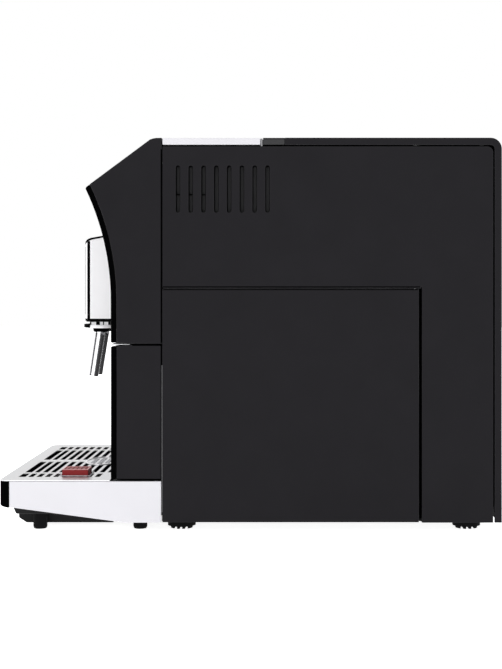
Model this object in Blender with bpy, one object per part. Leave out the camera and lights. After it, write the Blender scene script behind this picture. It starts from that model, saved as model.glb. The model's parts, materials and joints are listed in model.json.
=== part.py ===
"""Super-automatic espresso machine: a bean-to-cup machine with a side service door, a pull-out drip
drawer, a height-adjustable twin spout, a lift-out water tank and the brewing works inside.

Metres, +Z up. The front faces -Y and the service door is on +X. The origin is on the counter, under
the middle of the machine. Run it with: blender --background --python part.py
"""

import math

import bmesh
import bpy
from mathutils import Matrix, Vector

# ---------------------------------------------------------------- driving dimensions
HALF = 0.1400  # half of the width, along X
TRAY_FRONT = -0.2240
REAR = 0.2282
BODY_FRONT = -0.0772  # where the side panels start
COLUMN_FRONT = -0.1232  # face of the vertical front, above the tray
BASE_Z = 0.0086  # underside of the body
TRAY_TOP = 0.0468
GRID_SHEET = 0.0008
TRIM_TOP = TRAY_TOP - GRID_SHEET - 0.0002
SEAM_Z = 0.1688  # joint between the head and the column under it
DOOR_TOP = 0.2186
STRIP_Z = 0.3483  # top edge of the side panels
TOP_Z = 0.3545
SHEET = 0.0025  # thickness of the side panels and of the door's skin
GAP = 0.0004  # clearance between pieces that meet
CORNER = 0.010  # rounded rear top corner

FASCIA = 0.0048  # thickness of the glossy front panels
CURVE_R = 0.2341  # radius of the hollow front of the head
CURVE_Z = 0.2080  # height where the hollow front becomes vertical
SLOPE_FOOT = (-0.1422, 0.3127)  # control panel slope, lower end (Y, Z)
SLOPE_HEAD = (-0.0879, 0.3530)  # and upper end
SCREEN_HALF = 0.1000
BUTTON_X = 0.1190
BUTTON_R = 0.0075

VENT_COUNT = 8
VENT_FIRST_Y = -0.0629
VENT_PITCH = 0.0115
VENT_Z = 0.3084
VENT_LENGTH = 0.0427
VENT_WIDTH = 0.0040

DOOR_AXIS = (0.1353, 0.1502)  # X, Y of the door's vertical hinge
DOOR_REAR = 0.1536
DOOR_OPENING_REAR = 0.1564

CHANNEL_HALF = 0.0375  # half width of the channel that the spout rides in
CHANNEL_TOP = 0.3020
CHANNEL_BACK = -0.1205
RAIL_X = 0.0260
RAIL_Y = -0.1260
RAIL_R = 0.0020
NOZZLE_X = 0.0150

DRAWER_HALF = 0.1050  # half width of the grounds drawer's front
DRAWER_TOP = 0.1020
SLOT_PITCH = 0.0076
SLOT_WIDTH = 0.0046
SLOT_SECOND_Y = -0.1995  # the slot row behind the wider front one
SLOT_COUNT = 10
FLOAT_AT = (0.0987, -0.1600)  # X, Y of the float's middle
FLOAT_HALF = (0.0116, 0.0121)
FLOAT_TOP = TRAY_TOP + 0.0052

GRINDER_AT = (-0.0300, -0.0320)
CHAMBER_AT = (0.0800, 0.0530)
SCREW_AT = (0.0800, 0.0980)
SCREW_R = 0.0040
KNOB_AT = (0.1100, -0.0320)
TANK_LID_AXIS = (0.2100, 0.3523)  # Y, Z
HOPPER_LID_AXIS = (0.0035, 0.3522)
SWITCH_AT = (-0.0250, 0.2216, 0.0450)

# ---------------------------------------------------------------- scene and helpers
for old in list(bpy.data.objects):
    bpy.data.objects.remove(old, do_unlink=True)
MACHINE = bpy.data.collections.new("espresso_machine")
HELPERS = bpy.data.collections.new("cutters")
for made_collection in (MACHINE, HELPERS):
    bpy.context.scene.collection.children.link(made_collection)


def material(name, colour, roughness, metallic=0.0, alpha=1.0):
    made = bpy.data.materials.new(name)
    made.use_nodes = True
    shader = made.node_tree.nodes["Principled BSDF"]
    shader.inputs["Base Color"].default_value = (*colour, 1.0)
    shader.inputs["Roughness"].default_value = roughness
    shader.inputs["Metallic"].default_value = metallic
    shader.inputs["Alpha"].default_value = alpha
    return made


CHARCOAL = material("charcoal_plastic", (0.022, 0.022, 0.024), 0.45)
BLACK_GLOSS = material("gloss_black", (0.004, 0.004, 0.004), 0.08)
BLACK_PLASTIC = material("black_plastic", (0.012, 0.012, 0.013), 0.55)
SILVER = material("silver_plastic", (0.75, 0.75, 0.78), 0.30, 0.6)
STEEL = material("stainless_steel", (0.68, 0.68, 0.69), 0.28, 1.0)
CHROME = material("chrome", (0.80, 0.80, 0.82), 0.06, 1.0)
RED = material("red_plastic", (0.45, 0.02, 0.025), 0.35)
RUBBER = material("rubber", (0.015, 0.015, 0.016), 0.85)
SMOKE = material("smoke_plastic", (0.05, 0.05, 0.055), 0.12, 0.0, 0.55)
GREY = material("grey_plastic", (0.06, 0.06, 0.062), 0.50)
ALUMINIUM = material("cast_aluminium", (0.55, 0.56, 0.58), 0.45, 1.0)
WHITE = material("white_plastic", (0.70, 0.70, 0.68), 0.50)
BOARD = material("circuit_board", (0.02, 0.10, 0.04), 0.45)
HOSE = material("silicone_hose", (0.72, 0.70, 0.66), 0.40)


def finish(name, mesh, paint=None, origin=(0.0, 0.0, 0.0)):
    """Links a mesh given in world space as an object whose own origin is at origin."""
    mesh.name = name
    mesh.transform(Matrix.Translation(-Vector(origin)))
    mesh.shade_smooth()
    mesh.set_sharp_from_angle(angle=math.radians(30))
    obj = bpy.data.objects.new(name, mesh)
    obj.location = origin
    if paint is None:
        HELPERS.objects.link(obj)
        obj.hide_render = True
        obj.display_type = "WIRE"
    else:
        MACHINE.objects.link(obj)
        mesh.materials.clear()
        mesh.materials.append(paint)
    bpy.context.view_layer.update()
    return obj


def mesh_from(build):
    shape = bmesh.new()
    build(shape)
    bmesh.ops.recalc_face_normals(shape, faces=shape.faces)
    mesh = bpy.data.meshes.new("shape")
    shape.to_mesh(mesh)
    shape.free()
    return mesh


def add_cube(shape, low, high):
    low, high = Vector(low), Vector(high)
    place = Matrix.Translation((low + high) / 2) @ Matrix.Diagonal((*(high - low), 1.0))
    bmesh.ops.create_cube(shape, size=1.0, matrix=place)


def box(name, low, high, paint=None, origin=(0.0, 0.0, 0.0)):
    return finish(name, mesh_from(lambda shape: add_cube(shape, low, high)), paint, origin)


def boxes(name, corners):
    """Several separate boxes in one cutter."""

    def build(shape):
        for low, high in corners:
            add_cube(shape, low, high)

    return finish(name, mesh_from(build))


TURN = {
    "X": Matrix.Rotation(math.radians(90), 4, "Y"),
    "Y": Matrix.Rotation(math.radians(-90), 4, "X"),
    "Z": Matrix.Identity(4),
}


def round_bar(name, centre, radius, length, paint=None, axis="Z", sides=24, tip=None, origin=(0.0, 0.0, 0.0)):
    """A cylinder, or a cone when tip gives the radius of its far end."""

    def build(shape):
        bmesh.ops.create_cone(
            shape,
            cap_ends=True,
            segments=sides,
            radius1=radius,
            radius2=radius if tip is None else tip,
            depth=length,
            matrix=Matrix.Translation(centre) @ TURN[axis],
        )

    return finish(name, mesh_from(build), paint, origin)


def mesh_of_curve(curve, place):
    """A curve object's mesh, with its loose caps welded on, moved by place."""
    carrier = bpy.data.objects.new("carrier", curve)
    bpy.context.scene.collection.objects.link(carrier)
    bpy.context.view_layer.update()
    evaluated = carrier.evaluated_get(bpy.context.evaluated_depsgraph_get())
    mesh = bpy.data.meshes.new_from_object(evaluated)
    bpy.data.objects.remove(carrier)
    shape = bmesh.new()
    shape.from_mesh(mesh)
    bmesh.ops.remove_doubles(shape, verts=shape.verts, dist=0.00001)
    bmesh.ops.recalc_face_normals(shape, faces=shape.faces)
    shape.to_mesh(mesh)
    shape.free()
    mesh.transform(place)
    return mesh


# A flat outline is drawn in a curve's own XY plane; these carry it to (Y, Z), (X, Z) or (X, Y).
FLAT = {
    "X": Matrix(((0, 0, 1, 0), (1, 0, 0, 0), (0, 1, 0, 0), (0, 0, 0, 1))),
    "Y": Matrix(((1, 0, 0, 0), (0, 0, -1, 0), (0, 1, 0, 0), (0, 0, 0, 1))),
    "Z": Matrix.Identity(4),
}


def slab(name, outline, axis, low, high, paint=None, origin=(0.0, 0.0, 0.0)):
    """A flat outline stretched along an axis from low to high."""
    curve = bpy.data.curves.new(name, "CURVE")
    curve.dimensions = "2D"
    curve.fill_mode = "BOTH"
    curve.extrude = (high - low) / 2
    spline = curve.splines.new("POLY")
    spline.points.add(len(outline) - 1)
    for point, (across, up) in zip(spline.points, outline):
        point.co = (across, up, 0.0, 1.0)
    spline.use_cyclic_u = True
    along = {"X": (1, 0, 0), "Y": (0, 1, 0), "Z": (0, 0, 1)}[axis]
    place = Matrix.Translation(Vector(along) * (low + high) / 2) @ FLAT[axis]
    return finish(name, mesh_of_curve(curve, place), paint, origin)


def pipe(name, route, radius, paint):
    """A bent pipe or hose along the route's points."""
    curve = bpy.data.curves.new(name, "CURVE")
    curve.dimensions = "3D"
    curve.bevel_depth = radius
    curve.bevel_resolution = 2
    curve.use_fill_caps = True
    spline = curve.splines.new("POLY")
    points = smooth_route(route)
    spline.points.add(len(points) - 1)
    for point, at in zip(spline.points, points):
        point.co = (*at, 1.0)
    return finish(name, mesh_of_curve(curve, Matrix.Identity(4)), paint)


def smooth_route(route, steps=4):
    """Points along a Catmull-Rom curve through the route."""
    knots = [Vector(p) for p in (route[0], *route, route[-1])]
    found = []
    for a, b, c, d in zip(knots, knots[1:], knots[2:], knots[3:]):
        for step in range(steps):
            t = step / steps
            found.append(
                0.5 * (2 * b + (c - a) * t + (2 * a - 5 * b + 4 * c - d) * t**2 + (3 * b - a - 3 * c + d) * t**3)
            )
    return [*found, knots[-1]]


def boolean(obj, other, operation):
    made = obj.modifiers.new(f"{operation.lower()}_{other.name}", "BOOLEAN")
    made.operation = operation
    made.object = other
    made.solver = "EXACT"


def cut(obj, *cutters):
    for cutter in cutters:
        boolean(obj, cutter, "DIFFERENCE")
    return obj


def join(obj, *others):
    for other in others:
        boolean(obj, other, "UNION")
    return obj


def arc(centre, radius, start, end, steps):
    """Points on a circle in the outline's plane, from start to end in degrees."""
    turns = [math.radians(start + (end - start) * i / steps) for i in range(steps + 1)]
    return [(centre[0] + radius * math.cos(t), centre[1] + radius * math.sin(t)) for t in turns]


def stadiums(name, centres, length, width, axis, low, high):
    """Round-ended upright slots, as one cutter. Each centre is in the outline's plane."""
    pieces = bmesh.new()
    half, radius = length / 2 - width / 2, width / 2
    for across, up in centres:
        outline = arc((across, up + half), radius, 0, 180, 4) + arc((across, up - half), radius, 180, 360, 4)
        piece = slab("slot", outline, axis, low, high)
        pieces.from_mesh(piece.data)
        bpy.data.objects.remove(piece)
    mesh = bpy.data.meshes.new(name)
    pieces.to_mesh(mesh)
    pieces.free()
    return finish(name, mesh)


def both_sides(make):
    """Calls make once for the left and once for the right, with the side's name and sign."""
    for side, sign in (("left", -1), ("right", 1)):
        make(side, sign)


# ---------------------------------------------------------------- body panels
def vent_centres():
    return [(VENT_FIRST_Y + VENT_PITCH * i, VENT_Z) for i in range(VENT_COUNT)]


def base_pan():
    pan = box("base_pan", (-0.1370, -0.0755, BASE_Z), (0.1370, 0.2202, 0.0220), BLACK_PLASTIC)
    hollow = box("base_pan_hollow", (-0.1345, -0.0730, 0.0116), (0.1345, 0.2177, 0.0300))
    notch = box("base_pan_door_side", (0.1250, -0.0670, 0.0131), (0.1450, 0.1590, 0.0300))
    swing = round_bar("base_pan_door_swing", (*DOOR_AXIS, 0.0100), 0.0064, 0.0300, sides=24)
    cut(pan, hollow, notch, swing)
    x, y = DOOR_AXIS
    join(pan, box("base_pan_rod_foot", (x - 0.0078, y - 0.0019, BASE_Z), (x + 0.0015, y + 0.0011, 0.0131)))


def side_panel_left():
    front, rear, top = BODY_FRONT + GAP, 0.2204, STRIP_Z - 0.0016
    corner = arc((rear - 0.0050, top - 0.0050), 0.0050, 0, 90, 4)
    outline = [(front, BASE_Z), (rear, BASE_Z), *corner, (front, top)]
    panel = slab("side_panel_left", outline, "X", -HALF, -HALF + SHEET, CHARCOAL)
    cut(panel, stadiums("left_vents", vent_centres(), VENT_LENGTH, VENT_WIDTH, "X", -0.15, -0.13))


def side_panel_right():
    front, rear, top, sill = BODY_FRONT + GAP, 0.2204, STRIP_Z - 0.0016, DOOR_TOP + 0.0018
    outline = [
        (front, sill),
        (DOOR_OPENING_REAR, sill),
        (DOOR_OPENING_REAR, BASE_Z),
        (rear, BASE_Z),
        *arc((rear - 0.0050, top - 0.0050), 0.0050, 0, 90, 4),
        (front, top),
    ]
    panel = slab("side_panel_right", outline, "X", HALF - SHEET, HALF, CHARCOAL)
    cut(panel, stadiums("right_vents", vent_centres(), VENT_LENGTH, VENT_WIDTH, "X", 0.13, 0.15))


def service_door():
    hinge = (*DOOR_AXIS, 0.0)
    front, bottom = BODY_FRONT + GAP, BASE_Z + GAP
    door = box("service_door", (HALF - SHEET, front, bottom), (HALF, DOOR_REAR, DOOR_TOP), CHARCOAL, hinge)
    rim = box("door_rim", (0.1305, front + 0.003, 0.0240), (0.1380, 0.1440, DOOR_TOP - 0.006))
    cut(rim, box("door_rim_hollow", (0.1250, front + 0.005, 0.0260), (0.1374, 0.1420, DOOR_TOP - 0.008)))
    hook = box("door_hook", (0.1260, front + 0.003, 0.1150), (0.1310, front + 0.009, 0.1310))
    join(door, rim, hook)
    for name, low in (("lower", 0.0300), ("upper", 0.1850)):
        join(door, round_bar(f"door_knuckle_{name}", (*DOOR_AXIS, low + 0.009), 0.0030, 0.018, sides=16))
    cut(door, round_bar("door_bore", (*DOOR_AXIS, 0.12), 0.0019, 0.25, sides=12))


def hinge_rod():
    round_bar("door_hinge_rod", (*DOOR_AXIS, 0.1180), 0.0015, 0.2090, STEEL, sides=12)


def shell_outline(thickness):
    """The L of the rear shell in (Y, Z): the top from its front edge, round the corner, down the back."""
    front, bottom = 0.0334, BASE_Z
    corner = (REAR - CORNER, TOP_Z - CORNER)
    inner = max(CORNER - thickness, 0.0015)
    inner_corner = (REAR - thickness - inner, TOP_Z - thickness - inner)
    return [
        (front, TOP_Z),
        *arc(corner, CORNER, 90, 0, 8),
        (REAR, bottom),
        (REAR - thickness, bottom),
        *arc(inner_corner, inner, 0, 90, 4),
        (front, TOP_Z - thickness),
    ]


def rear_shell():
    shell = slab("rear_shell", shell_outline(0.0030), "X", -HALF, HALF, CHARCOAL)
    for side, sign in (("left", -1), ("right", 1)):
        low, high = sorted((sign * HALF, sign * (HALF - 0.0032)))
        join(shell, slab(f"shell_rim_{side}", shell_outline(0.0064), "X", low, high))
    vents = [((0.0300 + 0.010 * i, 0.2100, 0.0400), (0.0340 + 0.010 * i, 0.2400, 0.0900)) for i in range(8)]
    cut(
        shell,
        box("tank_opening", (-0.1165, 0.1520, 0.3400), (0.1165, 0.2160, 0.3600)),
        box("inlet_opening", (-0.1020, 0.2100, 0.0280), (-0.0480, 0.2400, 0.0620)),
        box("switch_opening", (-0.0360, 0.2100, 0.0330), (-0.0140, 0.2400, 0.0570)),
        boxes("rear_vents", vents),
    )


def top_crossbar():
    """The grey bar across the top, between the silver deck and the rear shell."""
    bar = box("top_crossbar", (-HALF, 0.0134, STRIP_Z), (HALF, 0.0330, TOP_Z - 0.0012), GREY)
    cut(bar, box("crossbar_relief", (-0.1200, 0.0150, 0.3400), (0.1200, 0.0314, 0.3520)))


def top_deck():
    deck = box("top_deck", (-HALF, BODY_FRONT + GAP, STRIP_Z), (HALF, 0.0111, TOP_Z - 0.0002), SILVER)
    pocket = box("hopper_pocket", (-0.1205, -0.0715, 0.3498), (0.0805, 0.0060, 0.3600))
    opening = box("hopper_opening", (-0.1150, -0.0660, 0.3400), (0.0750, 0.0000, 0.3600))
    pins = boxes("hopper_pin_seats", [
        ((-0.1232, 0.0021, 0.3508), (-0.1200, 0.0049, 0.3600)),
        ((0.0800, 0.0021, 0.3508), (0.0832, 0.0049, 0.3600)),
    ])
    boss = round_bar("knob_boss", (*KNOB_AT, 0.3435), 0.0210, 0.0110, sides=32)
    well = round_bar("knob_well", (*KNOB_AT, 0.3510), 0.0180, 0.0200, sides=32)
    stem = round_bar("knob_stem_hole", (*KNOB_AT, 0.3400), 0.0046, 0.0200, sides=16)
    cut(join(deck, boss), pocket, opening, pins, well, stem)


def hopper_lid():
    hinge = (0.0, *HOPPER_LID_AXIS)
    lid = box("hopper_lid", (-0.1200, -0.0710, 0.3507), (0.0800, 0.0050, 0.3537), SMOKE, hinge)
    pin = round_bar("hopper_lid_pin", (-0.0200, *HOPPER_LID_AXIS), 0.0010, 0.2050, axis="X", sides=10)
    join(lid, pin)
    cut(lid, box("hopper_lid_grip", (-0.0400, -0.0730, 0.3520), (0.0000, -0.0670, 0.3560)))


def grind_knob():
    x, y = KNOB_AT
    knob = round_bar("grind_knob", (x, y, 0.3476), 0.0160, 0.0120, BLACK_PLASTIC, sides=32, origin=(x, y, 0.0))
    join(knob, round_bar("grind_knob_stem", (x, y, 0.3360), 0.0040, 0.0120, sides=16))
    grips = [
        ((x + s * 0.0095 - 0.0055, y - 0.02, 0.3480), (x + s * 0.0095 + 0.0055, y + 0.02, 0.3560)) for s in (-1, 1)
    ]
    cut(knob, boxes("grind_knob_grips", grips))


def body_feet():
    for end, y in (("front", -0.0616), ("rear", 0.1993)):
        for side, x in (("left", -0.1130), ("right", 0.1130)):
            foot = round_bar(f"foot_{end}_{side}", (x, y, 0.0053), 0.0128, 0.0058, RUBBER, sides=24)
            join(foot, round_bar(f"sole_{end}_{side}", (x, y, 0.0020), 0.0100, 0.0040, sides=24))
            grooves = [
                ((x - 0.02, y + i * 0.0048 - 0.0011, -0.002), (x + 0.02, y + i * 0.0048 + 0.0011, 0.0018))
                for i in (-1, 0, 1)
            ]
            cut(foot, boxes(f"grooves_{end}_{side}", grooves))


# ---------------------------------------------------------------- head and column
def front_curve(offset, low, high, steps=14):
    """(Y, Z) down the hollow front of the head, moved back by offset, from height high to low."""
    centre_y, radius = COLUMN_FRONT - CURVE_R, CURVE_R + offset
    found = []
    for i in range(steps + 1):
        z = high + (CURVE_Z - high) * i / steps
        found.append((centre_y + math.sqrt(radius**2 - (z - CURVE_Z) ** 2), z))
    return [*found, (COLUMN_FRONT + offset, low)]


def slope_frame():
    """The control panel slope: its middle, its tilt about X and the unit vector pointing out of it."""
    foot, head = Vector((0, *SLOPE_FOOT)), Vector((0, *SLOPE_HEAD))
    tilt = math.atan2(head.z - foot.z, head.y - foot.y)
    return (foot + head) / 2, tilt, Vector((0, -math.sin(tilt), math.cos(tilt)))


def head_housing():
    rear, bottom = BODY_FRONT - GAP, SEAM_Z + 0.0008
    front = front_curve(FASCIA + GAP, bottom + 0.0010, 0.3120)
    crown = [(rear, TOP_Z - 0.0001), (rear - 0.0050, TOP_Z - 0.0002), (-0.0850, TOP_Z - 0.0006)]
    outline = [*front, (-0.1060, bottom), (rear, bottom), *crown, SLOPE_HEAD, SLOPE_FOOT]
    housing = slab("head_housing", outline, "X", -HALF, HALF, CHARCOAL)
    wall = 0.0030
    foot, head = Vector(SLOPE_FOOT), Vector(SLOPE_HEAD)
    lean = (head - foot).normalized()
    drop = Vector((lean.y, -lean.x)) * wall
    foot, head = foot + drop, head + drop
    far = foot - lean * 0.02
    inside = [
        (-0.1700, bottom + wall),
        (rear + 0.02, bottom + wall),
        (rear + 0.02, TOP_Z - wall),
        (head.x + 0.002, TOP_Z - wall - 0.0005),
        tuple(head),
        tuple(far),
        (-0.1700, far.y),
    ]
    cut(housing, slab("head_inside", inside, "X", -HALF + wall, HALF - wall))
    cut(housing, slope_plate("screen_hole", 0.0, SCREEN_HALF + 0.0004, 0.0520, 0.0200))
    cut(housing, slope_disc("button_hole", BUTTON_R + 0.0005, -0.0100, 0.0100))


def slope_place(x, height):
    middle, tilt, out = slope_frame()
    return Matrix.Translation(middle + Vector((x, 0, 0)) + out * height) @ Matrix.Rotation(tilt, 4, "X")


def slope_plate(name, x, half, length, depth, paint=None):
    """A plate let into the control panel slope; a finished one is flush, a cutter sticks out both ways."""
    place = slope_place(x, -depth / 2 - 0.0001 if paint else 0.0)
    size = Matrix.Diagonal((2 * half, length, depth, 1.0))
    mesh = mesh_from(lambda shape: bmesh.ops.create_cube(shape, size=1.0, matrix=place @ size))
    return finish(name, mesh, paint)


def slope_disc(name, radius, low, high, paint=None, origin=(0.0, 0.0, 0.0)):
    """A round bar square to the slope, between two heights above it."""

    def build(shape):
        bmesh.ops.create_cone(
            shape,
            cap_ends=True,
            segments=28,
            radius1=radius,
            radius2=radius,
            depth=high - low,
            matrix=slope_place(BUTTON_X, (low + high) / 2),
        )

    return finish(name, mesh_from(build), paint, origin)


def display_glass():
    slope_plate("display_glass", 0.0, SCREEN_HALF, 0.0512, 0.0024, BLACK_GLOSS)


def power_button():
    middle, _, _ = slope_frame()
    origin = middle + Vector((BUTTON_X, 0, 0))
    slope_disc("power_button", BUTTON_R, -0.0080, -0.0001, SILVER, origin)


def front_fascia():
    bottom = SEAM_Z + 0.0008
    outer = front_curve(0.0, bottom + 0.0014, 0.3087)
    inner = front_curve(FASCIA, bottom + 0.0010, 0.3116)
    nose = [(-0.1424, 0.3124), (-0.1452, 0.3104)]
    low = [(COLUMN_FRONT + 0.0008, bottom + 0.0006)]
    panel = slab("front_fascia", [*nose, *outer, *low, *reversed(inner)], "X", -HALF, HALF, BLACK_GLOSS)
    block_top = CHANNEL_TOP + 0.0025
    back = COLUMN_FRONT + FASCIA
    block = [*front_curve(0.0010, bottom + 0.0026, block_top), (back - 0.0002, bottom + 0.0024), (back - 0.0002, block_top)]
    join(panel, slab("channel_block", block, "X", -CHANNEL_HALF - 0.0025, CHANNEL_HALF + 0.0025))
    cut(
        panel,
        box("channel", (-CHANNEL_HALF, -0.2, 0.1600), (CHANNEL_HALF, CHANNEL_BACK, CHANNEL_TOP)),
        box("hose_slot", (-0.0080, -0.13, 0.1950), (0.0080, -0.11, 0.2850)),
    )
    for side, sign in (("left", -1), ("right", 1)):
        low, high = sorted((sign * 0.0210, sign * 0.0310))
        join(panel, box(f"rail_lug_{side}", (low, -0.1290, 0.1810), (high, -0.1195, 0.1850)))
    cut(panel, *[
        round_bar(f"rail_seat_{i}", (x, RAIL_Y, 0.1850), RAIL_R + 0.0003, 0.0030, sides=16)
        for i, x in enumerate((-RAIL_X, RAIL_X))
    ])


def spout_rails():
    def make(side, sign):
        round_bar(f"spout_rail_{side}", (sign * RAIL_X, RAIL_Y, 0.2427), RAIL_R, 0.1176, STEEL, sides=12)

    both_sides(make)


def lower_housing():
    front, rear, low, top = COLUMN_FRONT + FASCIA + GAP, BODY_FRONT - GAP, TRAY_TOP + 0.0006, SEAM_Z - 0.0004
    outline = [(front, low), (rear, low), (rear, top), (-0.1060, top), (front, top - 0.0014)]
    housing = slab("lower_housing", outline, "X", -HALF, HALF, CHARCOAL)
    inside = box("lower_inside", (-0.1370, -0.1150, 0.0498), (0.1370, -0.0700, 0.1640))
    doorway = box("drawer_opening", (-0.1058, -0.13, 0.0400), (0.1058, -0.07, 0.1028))
    cut(housing, inside, doorway)


def lower_fascia():
    back, low, top = COLUMN_FRONT + FASCIA, TRAY_TOP + 0.0006, SEAM_Z - 0.0012
    outline = [(COLUMN_FRONT, low), (back, low), (back, top), (COLUMN_FRONT + 0.0010, top - 0.0004), (COLUMN_FRONT, top - 0.0012)]
    panel = slab("lower_fascia", outline, "X", -HALF, HALF, BLACK_GLOSS)
    cut(panel, box("fascia_opening", (-0.1058, -0.14, 0.0400), (0.1058, -0.11, 0.1028)))


# ---------------------------------------------------------------- spout
def spout_cover():
    front, side, back = -0.1660, 0.0350, -0.1242
    bow = [(0.0, front), (0.0110, front + 0.0006), (0.0200, front + 0.0019), (0.0280, front + 0.0040)]
    half = [*bow, (0.0320, front + 0.0055), (0.0343, front + 0.0072), (side, front + 0.0095), (side, back)]
    full = [*reversed(half), *[(-x, y) for x, y in half[1:]]]
    cover = slab("spout_cover", full, "Z", 0.1875, 0.2720, SILVER)
    inner = side - 0.0020
    inside = [
        (inner, -0.1150),
        (inner, front + 0.0110),
        (0.0250, front + 0.0056),
        (-0.0250, front + 0.0056),
        (-inner, front + 0.0110),
        (-inner, -0.1150),
    ]
    hollow = slab("spout_hollow", inside, "Z", 0.1800, 0.2590)
    crown = [(-0.1800, 0.2560), (-0.1665, 0.2612), (-0.1600, 0.2650), (-0.1480, 0.2693), (-0.1150, 0.2718)]
    lid = slab("spout_crown", [*crown, (-0.1150, 0.29), (-0.1800, 0.29)], "X", -0.05, 0.05)
    notches = boxes("rail_notches", [
        ((sign * RAIL_X - 0.0035, -0.1300, 0.18), (sign * RAIL_X + 0.0035, -0.1150, 0.29)) for sign in (-1, 1)
    ])
    cut(cover, hollow, lid, notches)


def spout_carriage():
    """The sliding block inside the cover, with the dark plate under it and its two necks."""
    x = 0.0325
    carriage = box("spout_carriage", (-x, -0.1520, 0.1890), (x, -0.1300, 0.2280), BLACK_PLASTIC)
    join(carriage, box("carriage_sleeves", (-x, -0.1480, 0.2270), (x, -0.1242, 0.2560)))
    cut(carriage, box("carriage_hollow", (-0.0200, -0.1500, 0.1930), (0.0200, -0.1150, 0.2600)))
    outline = [(0.0348, -0.1250), (0.0348, -0.1568), (0.0270, -0.1622), (-0.0270, -0.1622), (-0.0348, -0.1568), (-0.0348, -0.1250)]
    join(carriage, slab("spout_base", outline, "Z", 0.1864, 0.1872, None))
    join(carriage, box("spout_plinth", (-0.0318, -0.1515, 0.1866), (0.0318, -0.1290, 0.1895)))
    cut(carriage, *[
        round_bar(f"sleeve_bore_{i}", (sign * RAIL_X, RAIL_Y, 0.2220), RAIL_R + 0.0004, 0.12, sides=16)
        for i, sign in enumerate((-1, 1))
    ])
    for i, x in enumerate((-NOZZLE_X, NOZZLE_X)):
        join(carriage, round_bar(f"spout_neck_{i}", (x, -0.1500, 0.1852), 0.0048, 0.0030, sides=16))


def spout_flange():
    outline = [(0.0330 * math.cos(t), -0.1460 + 0.0215 * math.sin(t)) for t in (math.tau * i / 36 for i in range(36))]
    slab("spout_flange", outline, "Z", 0.1800, 0.1833, CHROME)


def spout_nozzles():
    start, end = Vector((0.0, -0.1502, 0.1780)), Vector((0.0, -0.1572, 0.1326))
    lean = math.atan2(start.y - end.y, start.z - end.z)
    length = (start - end).length

    def make(side, sign):
        x = sign * NOZZLE_X
        nozzle = round_bar(f"nozzle_{side}", (x, -0.1500, 0.1777), 0.0066, 0.0040, CHROME, sides=20)
        place = Matrix.Translation((start + end) / 2 + Vector((x, 0, 0))) @ Matrix.Rotation(-lean, 4, "X")
        lower = place @ Matrix.Translation((0, 0, -0.006))

        def tube(shape):
            bmesh.ops.create_cone(
                shape, cap_ends=True, segments=20, radius1=0.0048, radius2=0.0052, depth=length, matrix=place
            )

        def bore(shape):
            bmesh.ops.create_cone(
                shape, cap_ends=True, segments=16, radius1=0.0034, radius2=0.0034, depth=length, matrix=lower
            )

        join(nozzle, finish(f"nozzle_tube_{side}", mesh_from(tube)))
        cut(nozzle, finish(f"nozzle_bore_{side}", mesh_from(bore)))

    both_sides(make)


# ---------------------------------------------------------------- drip drawer
def tray_trim():
    front, rear = -0.2146, BODY_FRONT - 0.0008
    outline = [(front, TRIM_TOP), (rear, TRIM_TOP), (rear, BASE_Z), (-0.1104, BASE_Z), (front, 0.0225)]
    trim = slab("tray_trim", outline, "X", -HALF, HALF, SILVER)
    cut(trim, box("tray_trim_inside", (-0.1370, -0.2135, -0.01), (0.1370, -0.05, 0.06)))


def rounded_front(radius, rear):
    """Half of the tray's plan, from the rear round the front corner, mirrored to make the whole."""
    corner = (HALF - radius, TRAY_FRONT + radius)
    half = [(HALF, rear), *arc(corner, radius, 0, -90, 6)]
    return half + [(-x, y) for x, y in reversed(half)]


def tray_front_bar():
    rear = -0.2150
    bar = slab("tray_front_bar", rounded_front(0.0080, rear), "Z", 0.0200, TRIM_TOP, BLACK_GLOSS)
    under = [(-0.2400, 0.0100), (-0.2100, 0.0100), (-0.2100, 0.0216), (rear, 0.0219), (-0.2215, 0.0232), (-0.2400, 0.0300)]
    cut(bar, slab("bar_underside", under, "X", -0.15, 0.15))


def tray_pan():
    rear, shelf = BODY_FRONT - 0.0036, 0.0440
    outline = [(-0.2130, shelf), (-0.2130, 0.0250), (-0.2090, 0.0160), (rear, 0.0160), (rear, shelf)]
    pan = slab("tray_pan", outline, "X", -0.1366, 0.1366, BLACK_PLASTIC)
    toe = [(-0.2122, 0.0240), (-0.2122, 0.0080), (-0.2050, 0.0034)]
    keel = [*toe, (-0.1090, 0.0034), (-0.1040, 0.0090), (rear, 0.0090), (rear, 0.0240)]
    join(pan, slab("tray_keel", keel, "X", -0.1080, 0.1080))
    cut(
        pan,
        box("tray_basin", (-0.1050, -0.2105, 0.0075), (0.1050, -0.1300, 0.06)),
        box("tray_basin_top", (-0.1340, -0.2105, 0.0230), (0.1340, -0.1300, 0.06)),
        box("pan_rear_hollow", (-0.1340, -0.1250, 0.0000), (0.1340, rear - 0.0026, 0.0410)),
    )


def grid_slots():
    """Rows of slots: a short and a long one on each side of the middle bar, the front ones wider.

    The rearmost row has no short slots.
    """
    rows = [(SLOT_SECOND_Y - 0.0079, 0.0064)]
    rows += [(SLOT_SECOND_Y + SLOT_PITCH * i, SLOT_WIDTH) for i in range(SLOT_COUNT)]
    found = []
    for y, width in rows:
        spans = ((0.0080, 0.0870),) if y == rows[-1][0] else ((0.0080, 0.0870), (0.0950, 0.1180))
        for near, far in spans:
            for low, high in ((near, far), (-far, -near)):
                found.append(((low, y - width / 2, 0.03), (high, y + width / 2, 0.06)))
    return found


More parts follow.
